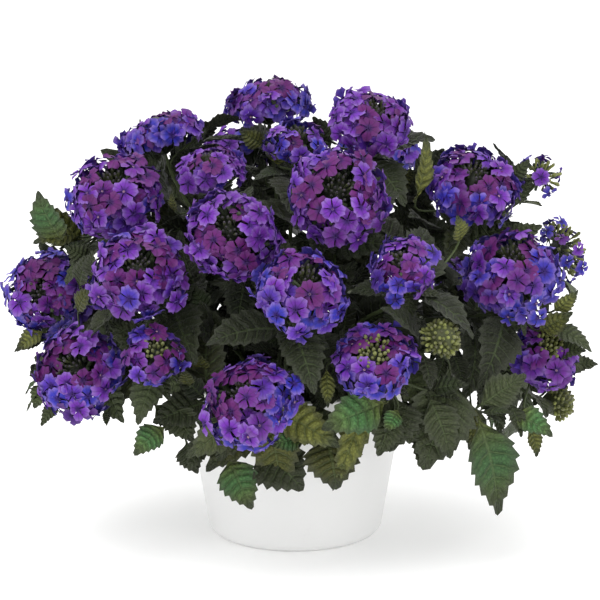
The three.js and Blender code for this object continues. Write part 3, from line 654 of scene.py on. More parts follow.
def pointOn(route, distance):
    # point and heading on the curve, so far from the soil
    point, ahead, back = pointsAt((distance, distance + 1, distance - 1), route["walked"], route["curve"])
    return point, unit(ahead - back)


# What grows on a shoot of the part: each blade by its midrib, each side twig by its rings

partLeaf = {
    "thick": 0.9,
    "innerRib": 0.37,  # its place along the blade
    "twigSide": 2.1,
    "twigDiagonal": 2.5,  # less than this is no diagonal
    "twigRing": 4.4,  # no two corners of a ring are further apart
    "twigRings": 3,
}


def isClose(value, target, spare=0.04):
    return abs(value - target) < spare


def readShoot(name):
    bm = bmesh.new()
    bm.from_mesh(frame["nodes"][name].data)
    bmesh.ops.remove_doubles(bm, verts=bm.verts, dist=0.02 * mm)
    at = {v: np.array(v.co) / mm for v in bm.verts}
    apart = lambda a, b: float(np.linalg.norm(at[a] - at[b]))
    nextTo = lambda v: [edge.other_vert(v) for edge in v.link_edges]
    isRib = lambda a, b: isClose(apart(a, b), partLeaf["thick"])
    onTwig = lambda a, b: isClose(apart(a, b), partLeaf["twigSide"]) or apart(a, b) > partLeaf["twigDiagonal"]
    blades, twigs = [], []
    for tip in bm.verts:
        around = nextTo(tip)
        if len(around) != 4:
            continue
        ribs = [pair for pair in combinations(around, 2) if isRib(*pair)]
        if ribs:
            over, under = ribs[0]
            inner = [(a, b) for a in nextTo(over) for b in nextTo(under)
                     if isRib(a, b) and not {a, b} & {tip, over, under}]
            left, right = set(around) - {over, under}
            even = all(isClose(apart(left, v), apart(right, v), 0.02) for v in (tip, over, under))
            if inner and even:
                blades.append(bladeFrom(at, tip, (over, under), inner[0]))
        elif all(onTwig(a, b) for a, b in combinations(around, 2)):
            twig = twigFrom(at, apart, nextTo, tip, around)
            if twig is not None:
                twigs.append(twig)
    bm.free()
    return [blade for blade in blades if blade], twigs


def bladeFrom(at, tip, outer, inner):
    # the midrib is an arc: its circle through three points gives droop, length and root
    end = at[tip]
    far = (at[outer[0]] + at[outer[1]]) / 2
    near = (at[inner[0]] + at[inner[1]]) / 2
    a, b = far - near, end - near
    normal = np.cross(a, b)
    if np.linalg.norm(normal) < 1e-6:
        return None
    inward = np.cross(normal, a) * b.dot(b) + np.cross(b, normal) * a.dot(a)
    centre = near + inward / (2 * normal.dot(normal))
    bend = np.linalg.norm(near - centre)
    turn = math.acos(np.clip(unit(near - centre).dot(unit(end - centre)), -1, 1))
    droop = turn / (1 - partLeaf["innerRib"])
    across = unit(np.cross(end - centre, near - centre))
    back = Matrix.Rotation(droop * partLeaf["innerRib"], 3, Vector(across))
    above = np.array(back @ Vector(unit(near - centre)))
    root = centre + above * bend
    ahead = unit(np.cross(above, across))
    return {"root": root, "ahead": ahead, "above": above, "length": bend * droop, "droop": droop}


def twigFrom(at, apart, nextTo, tip, ring):
    # centres of the rings of four corners, from the twig's root to its tip
    gaps = lambda four: [apart(a, b) for a, b in combinations(four, 2)]
    seen = {tip, *ring}
    rings = [ring]
    for _ in range(partLeaf["twigRings"]):
        beyond = {v for corner in rings[-1] for v in nextTo(corner)} - seen
        groups = [four for four in combinations(beyond, 4) if max(gaps(four)) < partLeaf["twigRing"]]
        if not groups:
            return None
        rings.append(min(groups, key=lambda four: sum(gaps(four))))
        seen |= set(rings[-1])
    centres = [at[tip]] + [sum(at[v] for v in four) / 4 for four in rings]
    return centres[::-1]


growth = {shoot["name"]: readShoot("stem_" + shoot["name"]) for shoot in shoots}
leafCount = sum(len(blades) for blades, _ in growth.values())
twigCount = sum(len(twigs) for _, twigs in growth.values())
print("read", leafCount, "leaves and", twigCount, "twigs")


# Leaves

leafShape = {
    "halfShare": 0.26,  # half width for each millimetre of length
    "thick": 0.45,
    "rootThick": 1.2,  # more than that, where the blade meets its stalk
    "places": (0, 0.05, 0.11, 0.17, 0.24, 0.32, 0.4, 0.5, 0.62, 0.76, 0.9, 1),
    "shares": (0.07, 0.07, 0.1, 0.3, 0.66, 0.93, 1, 0.97, 0.8, 0.52, 0.2, 0),
    "plainRows": (0, 0.05, 0.11),
    "firstTooth": 0.17,
    "toothed": 0.8,  # share of the length with teeth
    "toothPoint": 0.6,  # place of a tooth's point between two notches
    "toothDepth": 0.09,
    "toothLean": 0.03,
    "cup": 0.16,
    "quilt": 0.018,
    "groove": 0.012,
    "grooveHalf": 0.2,
    "slant": 0.1,
    "ripple": 0.018,
    "ripples": 2.2,
    "flatRoot": 0.15,  # no ripples before this place
    "stalkEnd": 0.1,
    "twist": 0.3,
}

# Painted shade for leaves inside the mound: darker with height, and towards the middle
paintedShade = {
    "height": (90, 25),  # where it begins, and over how many millimetres
    "side": (140, 30),
    "depth": 0.75,
    "least": 0.34,  # how much of its tint a leaf inside the mound keeps under the painted shade
}


def lightOn(point):
    # painted shade: leaves between the heads get a darker tint, those of the skirt and the sides keep their
    # full tint
    (low, rise), (outer, run) = paintedShade["height"], paintedShade["side"]
    raised = np.clip((point[2] - low) / rise, 0, 1)
    central = np.clip((outer - abs(point[0])) / run, 0, 1)
    return max(paintedShade["least"], 1 - paintedShade["depth"] * raised * central)


def midribAt(plan, share):
    # a blade droops in an arc from its root
    turn = plan["droop"] * share
    bend = plan["length"] / plan["droop"]
    return plan["root"] + plan["ahead"] * bend * math.sin(turn) - plan["above"] * bend * (1 - math.cos(turn))


def tipOf(plan):
    return midribAt(plan, 1)


def bladePoints(plan, places, sides, lifts):
    # points at these shares of the length, so far to the side of the midrib and above it
    turn = plan["droop"] * places
    bend = plan["length"] / plan["droop"]
    along = bend * np.sin(turn) + lifts * np.sin(turn)
    above = lifts * np.cos(turn) - bend * (1 - np.cos(turn))
    across = np.cross(plan["ahead"], plan["above"])
    return (plan["root"] + along[..., None] * plan["ahead"] + above[..., None] * plan["above"]
            + sides[..., None] * across)


def bladeRows(teeth):
    # rows across a blade, and which of them are notches (-1) or points (1) of the margin
    shape = leafShape
    step = shape["toothed"] / teeth
    rows = [(share, 0) for share in shape["plainRows"]]
    for k in range(teeth):
        start = shape["firstTooth"] + step * k
        rows += [(start, -1), (start + shape["toothPoint"] * step, 1)]
    station = np.array([row[0] for row in rows])[:, None]
    tooth = np.array([row[1] for row in rows])[:, None]
    return station, tooth


leafTint = {
    "oliveEnd": 0.92,
    "oliveFade": 0.25,
    "freshPlaces": (0.46, 0.62),
    "freshSpread": 0.26,
    "under": (1.35, 0.008),  # the under side is paler
}


def bladeTint(v, olive, fresh, freshPlace):
    # a leaf is olive from its root on, fresh green in the middle and dull at the tip
    rule = leafTint
    oliveShare = olive * np.clip((rule["oliveEnd"] - v) / rule["oliveFade"], 0, 1)[..., None]
    freshShare = fresh * np.exp(-(((v - freshPlace) / rule["freshSpread"]) ** 2))[..., None]
    dull = np.array(greenLook["leaf"])
    tint = dull * np.clip(1 - oliveShare, 0, 1) + np.array(greenLook["olive"]) * oliveShare
    return tint * (1 - freshShare) + np.array(greenLook["fresh"]) * freshShare


def closeBlade(faces, first, firstUnder, tip, last, wide):
    # both sheets share their margins and meet at the tip; the root is closed too
    upper = lambda i, j: first + i * wide + j
    lower = lambda i, j: upper(i, j) if j in (0, wide - 1) else firstUnder + i * (wide - 2) + j - 1
    for i in range(last):
        for j in range(wide - 1):
            faces.append((upper(i, j), upper(i, j + 1), upper(i + 1, j + 1), upper(i + 1, j)))
            faces.append((lower(i, j), lower(i + 1, j), lower(i + 1, j + 1), lower(i, j + 1)))
    for j in range(wide - 1):
        faces.append((upper(last, j), upper(last, j + 1), tip))
        faces.append((lower(last, j + 1), lower(last, j), tip))
    for j in range(wide - 1):
        rim = (upper(0, j + 1), upper(0, j), lower(0, j), lower(0, j + 1))
        faces.append(tuple(dict.fromkeys(rim)))  # a triangle at either margin, where the two sheets meet


def addBlade(sketch, plan, rng, teeth=7, columns=3, fresh=0.0, olive=0.2, light=None):
    shape = leafShape
    length = plan["length"]
    station, tooth = bladeRows(teeth)
    s = np.linspace(-1, 1, 2 * columns + 1)
    a = np.abs(s)
    v = station - shape["slant"] * (1 - a) * np.sin(math.pi * station)
    v = v + shape["toothLean"] * (tooth > 0) * a**4
    profile = np.interp(station, shape["places"], shape["shares"])
    width = length * shape["halfShare"] * plan.get("wide", 1)
    x = s * width * profile * (1 + shape["toothDepth"] * tooth * a**3)
    # cupped, quilted between the veins, grooved along the midrib and rippled at the margin
    phase = rng.uniform(0, 6.28)
    lift = shape["cup"] * np.abs(x) - shape["quilt"] * length * tooth * np.sin(math.pi * a)
    groove = np.exp(-((a / shape["grooveHalf"]) ** 2))
    lift = lift - shape["groove"] * length * groove * np.sin(math.pi * station)
    waves = np.sin(2 * math.pi * shape["ripples"] * v + phase + s)
    lift = lift + shape["ripple"] * length * waves * a**2 * (station > shape["flatRoot"])
    lift = lift + rng.uniform(-shape["twist"], shape["twist"]) * station * x
    thick = shape["thick"] + shape["rootThick"] * (station < shape["stalkEnd"])
    top = bladePoints(plan, v, x, lift)
    inside = slice(1, -1)
    under = bladePoints(plan, v[:, inside], x[:, inside], (lift - thick)[:, inside])
    end = bladePoints(plan, np.array([1.0]), np.array([0.0]), np.array([0.0]))
    uv = np.stack([np.broadcast_to(s * 0.5 + 0.5, v.shape), v], axis=-1)
    look = {"blade": 1, "luck": rng.random()}
    # light is the share of its tint a leaf keeps under the painted shade, painted into both sides and the tip
    light = lightOn(tipOf(plan)) if light is None else light
    tint = bladeTint(v, olive, fresh, rng.uniform(*leafTint["freshPlaces"])) * light
    paler, more = leafTint["under"]
    underTint = tint[:, inside] * paler + more
    tipTint = np.array(greenLook["leaf"]) * light
    first = addPoints(sketch, top, uv.reshape(-1, 2), tint=tint.reshape(-1, 3), **look)
    underMap = uv[:, inside].reshape(-1, 2)
    firstUnder = addPoints(sketch, under, underMap, tint=underTint.reshape(-1, 3), **look)
    tip = addPoints(sketch, end, (0.5, 1), tint=tipTint, **look)
    closeBlade(sketch["faces"], first, firstUnder, tip, len(station) - 1, len(s))


roomRule = {
    "places": (0.3, 0.6, 1.0),  # along the midrib
    "head": 0.9,  # share of a head's radius that stays clear of leaves
    "buddedHead": 0.7,
    "potRadius": 78,
    "potTop": 104,
    "tries": 3,
    "shorter": 0.72,  # at each try
}
headPlaces = np.array([shoot["at"] for shoot in shoots], float)
headRadii = np.array([shoot["radius"] * roomRule["buddedHead" if shoot["kind"] == "budded" else "head"]
                      for shoot in shoots])
lowest, highest = (np.array(corner) / mm for corner in cadBox)


def hasRoom(plan):
    # clear of every head and of the pot, and within the plant's own reach
    rule = roomRule
    for share in rule["places"]:
        point = midribAt(plan, share)
        if (np.linalg.norm(headPlaces - point, axis=1) < headRadii).any():
            return False
        if math.hypot(point[0], point[1]) < rule["potRadius"] and point[2] < rule["potTop"]:
            return False
        if (point < lowest).any() or (point > highest).any():
            return False
    return True


pairRule = {"spread": (45, 70), "droop": (30, 70), "lengths": (0.85, 1.15), "wander": 0.3, "upward": 0.7}


def pairPlans(point, heading, across, length, rng, count, turned):
    # blades round a node of the stem, spread evenly
    rule = pairRule
    other = np.cross(heading, across)
    for k in range(count):
        angle = 2 * math.pi * k / count + turned + rng.uniform(-rule["wander"], rule["wander"])
        sideways = across * math.cos(angle) + other * math.sin(angle)
        spread = math.radians(rng.uniform(*rule["spread"]))
        ahead = unit(heading * math.cos(spread) + sideways * math.sin(spread))
        light = unit(point - (0, 0, stemShape["soilTop"])) + rule["upward"] * up
        above = unit(light - ahead * light.dot(ahead))
        yield {"root": point, "ahead": ahead, "above": above,
               "length": length * rng.uniform(*rule["lengths"]),
               "droop": math.radians(rng.uniform(*rule["droop"]))}


def addLeafIfRoom(sketch, plan, rng, **detail):
    for _ in range(roomRule["tries"]):
        if hasRoom(plan):
            addBlade(sketch, plan, rng, **detail)
            return
        plan["length"] *= roomRule["shorter"]


# Tips of further leaves that hang at the skirt, or fill a gap between heads
fillTips = [
    (-55, -104, 67), (-45, -112, 75), (186, 0, 101), (-155, -26, 219), (-83, 10, 198), (-71, 40, 235),
    (-56, 50, 247), (-21, 20, 233), (-23, 0, 219), (-2, -30, 190), (37, -60, 183), (63, -10, 202),
    (76, 10, 219), (83, 30, 236), (33, 30, 231), (107, -30, 195), (140, 0, 194), (-70, -20, 195),
    (-44, 40, 229), (-35, 60, 246), (14, 50, 243), (25, 40, 235), (84, -40, 186), (73, -90, 102),
    (104, -60, 105), (-61, -90, 148), (-56, -70, 162), (26, -100, 150), (74, -60, 160), (-83, -80, 97),
    (-121, 20, 238), (100, 60, 190), (-90, 90, 150), (0, 110, 190), (80, 110, 100), (150, 60, 130),
    (-150, 40, 90), (-4, 50, 208), (40, 20, 187), (42, 60, 194), (66, 40, 195), (-76, 60, 213),
    (20, 20, 192), (-35, -100, 80), (-20, 125, 110), (60, 60, 200), (-70, 60, 170), (120, 60, 190),
    (-160, 20, 180), (150, 70, 90), (-100, 110, 90),
]

# Leaves that the photo shows shorter or narrower than the part: tip, share of length and of width
leafTrims = [
    ((-112, -88, 74), 0.5, 0.62), ((-95, -102, 70), 0.6, 0.7), ((-92, -75, 76), 0.7, 0.8),
    ((-101, -11, 72), 0.75, 0.9), ((-172, -12, 114), 0.7, 0.8), ((-160, -50, 78), 0.6, 0.9),
    ((54, -116, 76), 0.82, 0.8), ((22, -112, 57), 1, 0.44), ((31, -86, 65), 0.85, 0.8),
    ((120, -92, 33), 0.95, 0.95), ((-68, -106, 72), 0.9, 0.7), ((-54, -104, 64), 0.95, 0.75),
    ((152, -50, 74), 0.75, 0.8), ((30, -124, 84), 0.9, 0.85), ((92, -98, 66), 0.85, 0.9),
    ((144, -69, 120), 0.8, 0.8), ((106, -80, 106), 0.9, 0.85), ((171, 17, 188), 0.4, 0.9),
    ((-123, -57, 117), 0.8, 0.9),
]

# Leaves on stalks from the nearest stem: root, tip, tone and, for some, width as a share of the usual
stalkedLeaves = [
    ((-39, -106, 77), (-25, -116, 47), "fresh", 1.25), ((-22, -104, 84), (5, -114, 58), "dark", 1.6),
    ((18, -106, 91), (24, -116, 59), "olive", 1.8), ((91, -84, 125), (75, -96, 65), "dark", 1.2),
    ((127, -72, 94), (153, -80, 81), "fresh", 1.1), ((140, -60, 83), (145, -64, 64), "olive"),
    ((-49, -100, 89), (-62, -108, 68), "dark"), ((-153, -20, 132), (-170, -26, 120), "olive", 1.5),
    ((-141, -50, 95), (-153, -56, 81), "dark"), ((-138, -30, 187), (-154, -36, 222), "fresh", 1.1),
    ((67, 20, 195), (83, 10, 228), "dark"), ((73, 30, 217), (93, 25, 238), "dark"),
    ((80, 10, 180), (60, 0, 211), "dark"), ((127, 10, 204), (146, 0, 224), "dark"),
    ((-65, 50, 233), (-47, 45, 253), "dark"), ((23, 60, 231), (11, 55, 254), "dark"),
    ((169, -2, 104), (188, -8, 108), "dark", 1.2), ((154, -30, 136), (180, -40, 123), "dark"),
    ((155, -40, 148), (170, -46, 163), "olive"), ((97, -58, 194), (95, -66, 212), "olive", 1.2),
    ((105, -60, 98), (104, -70, 70), "olive"), ((116, -70, 101), (122, -78, 81), "dark"),
    ((66, 0, 186), (59, -8, 209), "dark"), ((113, -62, 108), (108, -72, 96), "dark"),
    ((54, -116, 112), (15, -130, 99), "fresh", 1.1), ((6, -124, 93), (-14, -128, 89), "fresh", 1.2),
    ((60, -108, 106), (52, -114, 93), "fresh", 1.3), ((18, -118, 133), (19, -124, 110), "olive", 0.7),
    ((72, -28, 213), (78, -20, 255), "olive", 0.6), ((-129, -60, 151), (-119, -68, 170), "olive"),
    ((-10, -20, 234), (-9, -26, 250), "olive", 1.3), ((-53, -78, 118), (-57, -84, 134), "olive", 1.2),
    ((-19, 0, 243), (-34, -6, 254), "olive", 1.2), ((-70, -58, 212), (-72, -64, 227), "olive", 0.7),
    ((-61, -92, 115), (-65, -98, 128), "olive", 1.2), ((-72, -88, 104), (-60, -94, 82), "dark", 1.5),
    ((-64, -92, 82), (-57, -100, 64), "dark", 1.5), ((57, -98, 113), (55, -110, 80), "dark", 1.8),
    ((63, -92, 109), (67, -100, 82), "dark", 1.3), ((32, -100, 106), (39, -108, 83), "dark", 1.2),
    ((-75, -92, 91), (-94, -100, 75), "fresh", 1.2), ((-117, -64, 171), (-119, -70, 192), "dark", 1.3),
    ((-84, -84, 103), (-64, -90, 87), "dark"), ((-111, -70, 96), (-112, -74, 86), "dark"),
    ((56, 10, 214), (75, 0, 228), "olive"), ((93, -55, 128), (100, -66, 107), "dark"),
    ((8, -20, 175), (2, -28, 195), "dark"), ((-131, -20, 190), (-158, -34, 189), "olive"),
    ((-129, -45, 163), (-121, -52, 187), "dark"), ((147, -35, 135), (167, -48, 150), "olive"),
    ((128, 0, 221), (143, -6, 236), "dark"), ((127, -74, 101), (134, -82, 81), "dark"),
    ((126, -28, 188), (149, -34, 200), "dark"), ((157, -30, 121), (177, -36, 123), "dark", 1.3),
    ((90, -56, 128), (82, -66, 106), "dark"), ((-136, -30, 177), (-120, -36, 188), "dark"),
    ((-3, 0, 171), (-7, -10, 195), "dark"), ((-28, 10, 211), (-30, 0, 230), "dark"),
    ((35, -20, 161), (44, -30, 179), "dark"), ((87, -50, 133), (90, -62, 109), "dark"),
    ((58, -104, 105), (48, -112, 78), "dark", 1.2), ((-57, 12, 249), (-30, 4, 259), "dark", 0.8),
    ((-112, -52, 153), (-91, -58, 148), "dark", 1.5), ((-153, -20, 126), (-172, -26, 120), "olive", 1.1),
    ((-122, -40, 179), (-138, -46, 190), "dark", 1.2), ((79, -84, 89), (73, -92, 66), "dark", 1.3),
]

# Leaves of the part and of the tips above that stand out by their tone: tip and tone
leafTones = [
    ((-54, -104, 64), "olive"), ((-8, -106, 58), "olive"), ((22, -112, 57), "olive"),
    ((30, -124, 84), "olive"), ((54, -116, 76), "dark"), ((120, -92, 33), "fresh"),
    ((144, -69, 120), "dark"), ((106, -80, 106), "dark"), ((92, -98, 66), "dark"),
    ((-158, -22, 213), "olive"), ((-45, -112, 75), "olive"), ((-35, -100, 80), "fresh"),
    ((100, -56, 97), "dark"), ((74, -60, 160), "dark"), ((103, -109, 147), "dark"),
]

nearTip = {"trim": 3, "tone": 4}  # a leaf whose tip is this close to a listed one is meant
chanceTone = {"fresh": 0.2, "olive": 0.45}  # for leaves that have no tone of their own
# painted shade: a dark leaf takes the painted shade of its place; fresh and olive leaves keep their full tint
# (light 1)
tones = {
    "dark": {"olive": 0.0},
    "fresh": {"fresh": 1.0, "olive": 0.9, "light": 1.0},
    "olive": {"olive": 1.1, "light": 1.0},
}


def trimmed(plan):
    for tip, longer, wider in leafTrims:
        if np.linalg.norm(tipOf(plan) - tip) < nearTip["trim"]:
            return plan | {"length": plan["length"] * longer, "droop": plan["droop"] * longer,
                           "wide": wider / longer, "tip": tip}
    return plan


def toneOf(plan, rng):
    tone = plan.get("tone")
    for tip, name in leafTones:
        if tone is None and np.linalg.norm(plan.get("tip", tipOf(plan)) - np.array(tip)) < nearTip["tone"]:
            tone = name
    return tones.get(tone) or {"fresh": rng.uniform(0, chanceTone["fresh"]) ** 1.3,
                               "olive": chanceTone["olive"] * rng.random() ** 2}


arching = {"droop": (42, 66), "frontward": 0.9, "upward": 0.8}


def archedTo(root, tip, rng):
    # a blade from a point to a tip, turned so that its upper side is seen from outside
    droop = math.radians(rng.uniform(*arching["droop"]))
    chord = tip - root
    ahead = unit(chord)
    outward = (0, math.copysign(arching["frontward"], tip[1]), arching["upward"])
    light = unit(tip * (1, 1, 0)) + outward
    above = unit(light - ahead * light.dot(ahead))
    half = droop / 2
    return {"root": root, "length": np.linalg.norm(chord) * half / math.sin(half), "droop": droop,
            "ahead": ahead * math.cos(half) + above * math.sin(half),
            "above": above * math.cos(half) - ahead * math.sin(half)}


routes = {shoot["name"]: routeOf(shoot) for shoot in shoots}
fillRule = {"clear": 10, "shortest": 28, "best": 50, "longest": 72, "turning": 18, "from": 16, "step": 8}
stalkRule = {"from": 10, "step": 5, "bend": 0.4, "into": 2}
bareFoot = 12  # the lowest stretch of a stem carries nothing


def alongStems(rule):
    # name, point and heading at steps down each stem, from so far below its head
    for name, route in routes.items():
        for distance in np.arange(rule["from"], route["length"] - bareFoot, rule["step"]):
            point, heading = pointOn(route, route["length"] - distance)
            yield name, point, heading


def fillPlans():
    # each tip's leaf grows from the stem that reaches it best and keeps clear of the heads
    rule = fillRule
    plans = {name: [] for name in routes}
    rng = random.Random(11)
    have = np.array([tipOf(plan) for blades, _ in growth.values() for plan in blades])
    for tip in np.array(fillTips, float):
        if np.linalg.norm(have - tip, axis=1).min() < rule["clear"]:
            continue
        best, kept = 1e9, None
        for name, root, heading in alongStems(rule):
            far = np.linalg.norm(tip - root)
            if not rule["shortest"] < far < rule["longest"]:
                continue
            cost = abs(far - rule["best"]) + rule["turning"] * (1 - unit(tip - root).dot(heading))
            if cost < best:
                plan = archedTo(root, tip, rng)
                if hasRoom(plan):
                    best, kept = cost, (name, plan)
        if kept:
            plans[kept[0]].append(kept[1])
    return plans


def stalkPlans():
    rule = stalkRule
    plans = {name: [] for name in routes}
    rng = random.Random(23)
    for root, tip, tone, *wide in stalkedLeaves:
        root, tip = np.array(root, float), np.array(tip, float)
        plan = archedTo(root, tip, rng) | {"tone": tone, "wide": wide[0] if wide else 1.0}
        options = [(np.linalg.norm(start - root), name, start, heading)
                   for name, start, heading in alongStems(rule)]
        far, name, start, heading = min(options, key=lambda option: option[0])
        before = root - plan["ahead"] * far * rule["bend"]
        handles = (start, start + heading * far * rule["bend"], before, root + plan["ahead"] * rule["into"])
        plan["stalk"] = bezier(handles, 10)
        plans[name].append(plan)
    return plans


fill = fillPlans()
stalked = stalkPlans()
print("leaves that fill gaps:", sum(len(plans) for plans in fill.values()))


# Small leaves: pairs inside the mound, fours below a head, and threes on a twig

smallLeaf = {
    "inner": {"length": 44, "count": 2, "teeth": 6, "fresh": (0, 0.2)},
    "node": {"length": 24, "count": 4, "teeth": 4, "fresh": (0, 0.4)},
    # each round on a twig: length of its leaves, and distance from the twig's tip
    "twig": {"rounds": ((24, 8), (15, 2)), "count": 3, "teeth": 4, "fresh": (0.1, 0.5), "droop": 0.6},
}
side = np.array([1.0, 0, 0])


def leavesOf(shoot, route, sketch, rng):
    blades, twigs = growth[shoot["name"]]
    for plan in [trimmed(plan) for plan in blades] + fill[shoot["name"]] + stalked[shoot["name"]]:
        addBlade(sketch, plan, rng, **toneOf(plan, rng))
    addInnerLeaves(route, sketch, rng)
    addNodeLeaves(shoot, route, sketch, rng)
    for centres in twigs:
        addTwigLeaves(centres, sketch, rng)


def addRound(sketch, point, heading, across, length, rule, rng, turned, droop=1):
    for plan in pairPlans(point, heading, across, length, rng, count=rule["count"], turned=turned):
        plan["droop"] *= droop
        addLeafIfRoom(sketch, plan, rng, teeth=rule["teeth"], columns=2, fresh=rng.uniform(*rule["fresh"]))


def addInnerLeaves(route, sketch, rng):
    rule = smallLeaf["inner"]
    quarter = 0.0
    for distance in stemShape["innerPairs"]:
        if distance < route["length"] - bareFoot:
            point, heading = pointOn(route, route["length"] - distance)
            across = unit(side - heading * side.dot(heading))
            quarter += math.pi / 2
            addRound(sketch, point, heading, across, rule["length"], rule, rng, quarter)


def addNodeLeaves(shoot, route, sketch, rng):
    rule = smallLeaf["node"]
    for distance in stemShape["pairs"][: 1 if shoot["kind"] == "sparse" else 3]:
        point, heading = pointOn(route, route["length"] - distance)
        across = unit(side - heading * side.dot(heading))
        addRound(sketch, point, heading, across, rule["length"], rule, rng, rng.uniform(0, 3))


def addTwigLeaves(centres, sketch, rng):
    rule = smallLeaf["twig"]
    tip, heading = centres[-1], unit(centres[-1] - centres[-2])
    across = unit(np.cross(heading, up + 0.01))
    for length, back in rule["rounds"]:
        addRound(sketch, tip - heading * back, heading, across, length, rule, rng, back, rule["droop"])


# Stems, twigs and stalks

def smoothed(knots, steps=14):
    # an even line through the knots, with its corners rounded off
    places = walkedAlong(knots)
    path = pointsAt(np.linspace(0, places[-1], steps), places, knots)
    for _ in range(3):
        path[1:-1] = (path[:-2] + 2 * path[1:-1] + path[2:]) / 4
    return path


def stemsOf(shoot, route, sketch, rng):
    shape = stemShape
    inside = shape["inHead"][shoot["kind"]]
    distances = np.linspace(0, route["length"], shape["steps"])
    centres = [route["hole"] - up * shape["rootDepth"]] + [pointOn(route, d)[0] for d in distances]
    centres.append(route["at"] + route["face"] * inside * (shoot["radius"] * shape["flat"]))
    fromHead = route["length"] - distances
    swells = [np.exp(-((fromHead - pair) / shape["nodeReach"]) ** 2) for pair in shape["pairs"]]
    swell = 1 + shape["nodeSwell"] * sum(swells)
    radii = np.interp(distances, (0, route["length"]), (shape["rootHalf"], shape["tipHalf"])) * swell
    radii = [shape["rootHalf"], *radii, shape["tipHalf"]]
    look = {"tint": greenLook["stem"], "blade": 0, "luck": rng.random()}
    sweep(sketch, centres, radii, (1, 0, 0), edge=shape["edge"], **look)
    slanting = (0.3, 0.9, 0)
    for plan in stalked[shoot["name"]]:
        stalk = plan["stalk"]
        sweep(sketch, stalk, np.linspace(*shape["stalkHalves"], len(stalk)), slanting, **look)
    for knots in growth[shoot["name"]][1]:
        twig = smoothed(np.array(knots))
        sweep(sketch, twig, np.linspace(*shape["twigHalves"], len(twig)), slanting, **look)


# The core of a head, where the tubes of the florets meet; but on budded heads its near-black tint is painted
# shade inside the head

coreShape = {
    "radius": {"open": 0.4, "small": 0.4, "young": 0.4, "sparse": 0.3, "budded": 0.75},  # of the head's
    "rings": (-1, -0.8, -0.35, 0.25, 0.75, 1),
    "stretch": 1.1,
}


def coreOf(shoot, route, sketch):
    shape = coreShape
    radius = shoot["radius"] * shape["radius"][shoot["kind"]]
    u, _, w = axesAlong(route["face"])
    shares = np.array(shape["rings"])
    centres = [route["at"] + w * share * radius * shape["stretch"] for share in shares]
    radii = radius * np.sqrt(np.clip(1.02 - shares**2, 0.02, 1))
    tint = greenLook["bud" if shoot["kind"] == "budded" else "paintedShadeCore"]
    sweep(sketch, centres, radii, u, edge=0.0, tint=tint, blade=0, luck=0.4)


# Small repeated shapes: floret, calyx and bud, each one unit in radius or length

floretShape = {
    "petals": 5,
    "half": 38,  # half angle of a petal
    # rows across it: place along, and share of the half angle
    "rows": ((0.0, 1.0), (0.3, 0.8), (0.58, 0.9), (0.82, 0.98), (1.0, 0.72)),
    "columns": 4,
    "start": 0.12,
    "reach": 0.92,
    "thick": 0.035,
    "notch": (0.13, 0.3),  # depth and half width
    "shoulders": 0.2,
    "cup": (0.13, 0.2),  # a petal rises from the throat and falls off to the rim
    "trough": 0.07,
    "skew": 0.05,
    "turned": 6,  # degrees either way
    "sizes": (0.84, 1.04),
    "slopes": (-0.3, 0.22),
    "waves": (0.05, 0.13),
    # throat and tube: radius, height and place on the map
    "tube": ((0.0, -0.14, 0.0), (0.08, 0.02, 0.04), (0.15, 0.03, 0.12), (0.1, -0.25, 0.3), (0.08, -0.9, 0.3)),
}


def addPetal(sketch, k, number, rng):
    # petals lie with a notch at the rim, a slope of their own and a wavy edge
    shape = floretShape
    t = np.array([row[0] for row in shape["rows"]])[:, None]
    widths = np.array([row[1] for row in shape["rows"]])[:, None]
    s = np.linspace(-1, 1, shape["columns"] + 1)
    deep, half = shape["notch"]
    notch = deep * np.exp(-((s / half) ** 2)) + shape["shoulders"] * np.abs(s) ** 3
    turn = math.radians(360 / shape["petals"] * k + rng.uniform(-shape["turned"], shape["turned"]))
    size, slope, wave = [rng.uniform(*shape[key]) for key in ("sizes", "slopes", "waves")]
    angles = np.radians(shape["half"]) * s * widths + turn
    reach = shape["start"] + size * shape["reach"] * t * (1 - notch * t**2)
    rise, fall = shape["cup"]
    height = rise * t - fall * t**2 + slope * t**2 - shape["trough"] * t * (1 - s**2)
    height = height + shape["skew"] * s + wave * np.sin(4 * s + 2.1 * k + number) * t**1.5
    top = np.stack([reach * np.cos(angles), reach * np.sin(angles), height], axis=-1)
    below = top[1:-1, 1:-1] - (0, 0, shape["thick"])
    uv = np.stack(np.broadcast_arrays(s / 2 + 0.5, 0.1 + 0.9 * t), axis=-1)
    look = {"tint": (1, 1, 1), "luck": 0}
    first = addPoints(sketch, top / mm, uv.reshape(-1, 2), blade=0, **look)
    under = addPoints(sketch, below / mm, uv[1:-1, 1:-1].reshape(-1, 2), blade=1, **look)
    wide, tall = len(s), len(t)
    upper = lambda i, j: first + i * wide + j
    lower = lambda i, j: (upper(i, j) if i in (0, tall - 1) or j in (0, wide - 1)
                          else under + (i - 1) * (wide - 2) + j - 1)
    for i in range(tall - 1):
        for j in range(wide - 1):
            sketch["faces"].append((upper(i, j), upper(i + 1, j), upper(i + 1, j + 1), upper(i, j + 1)))
            sketch["faces"].append((lower(i, j), lower(i, j + 1), lower(i + 1, j + 1), lower(i + 1, j)))


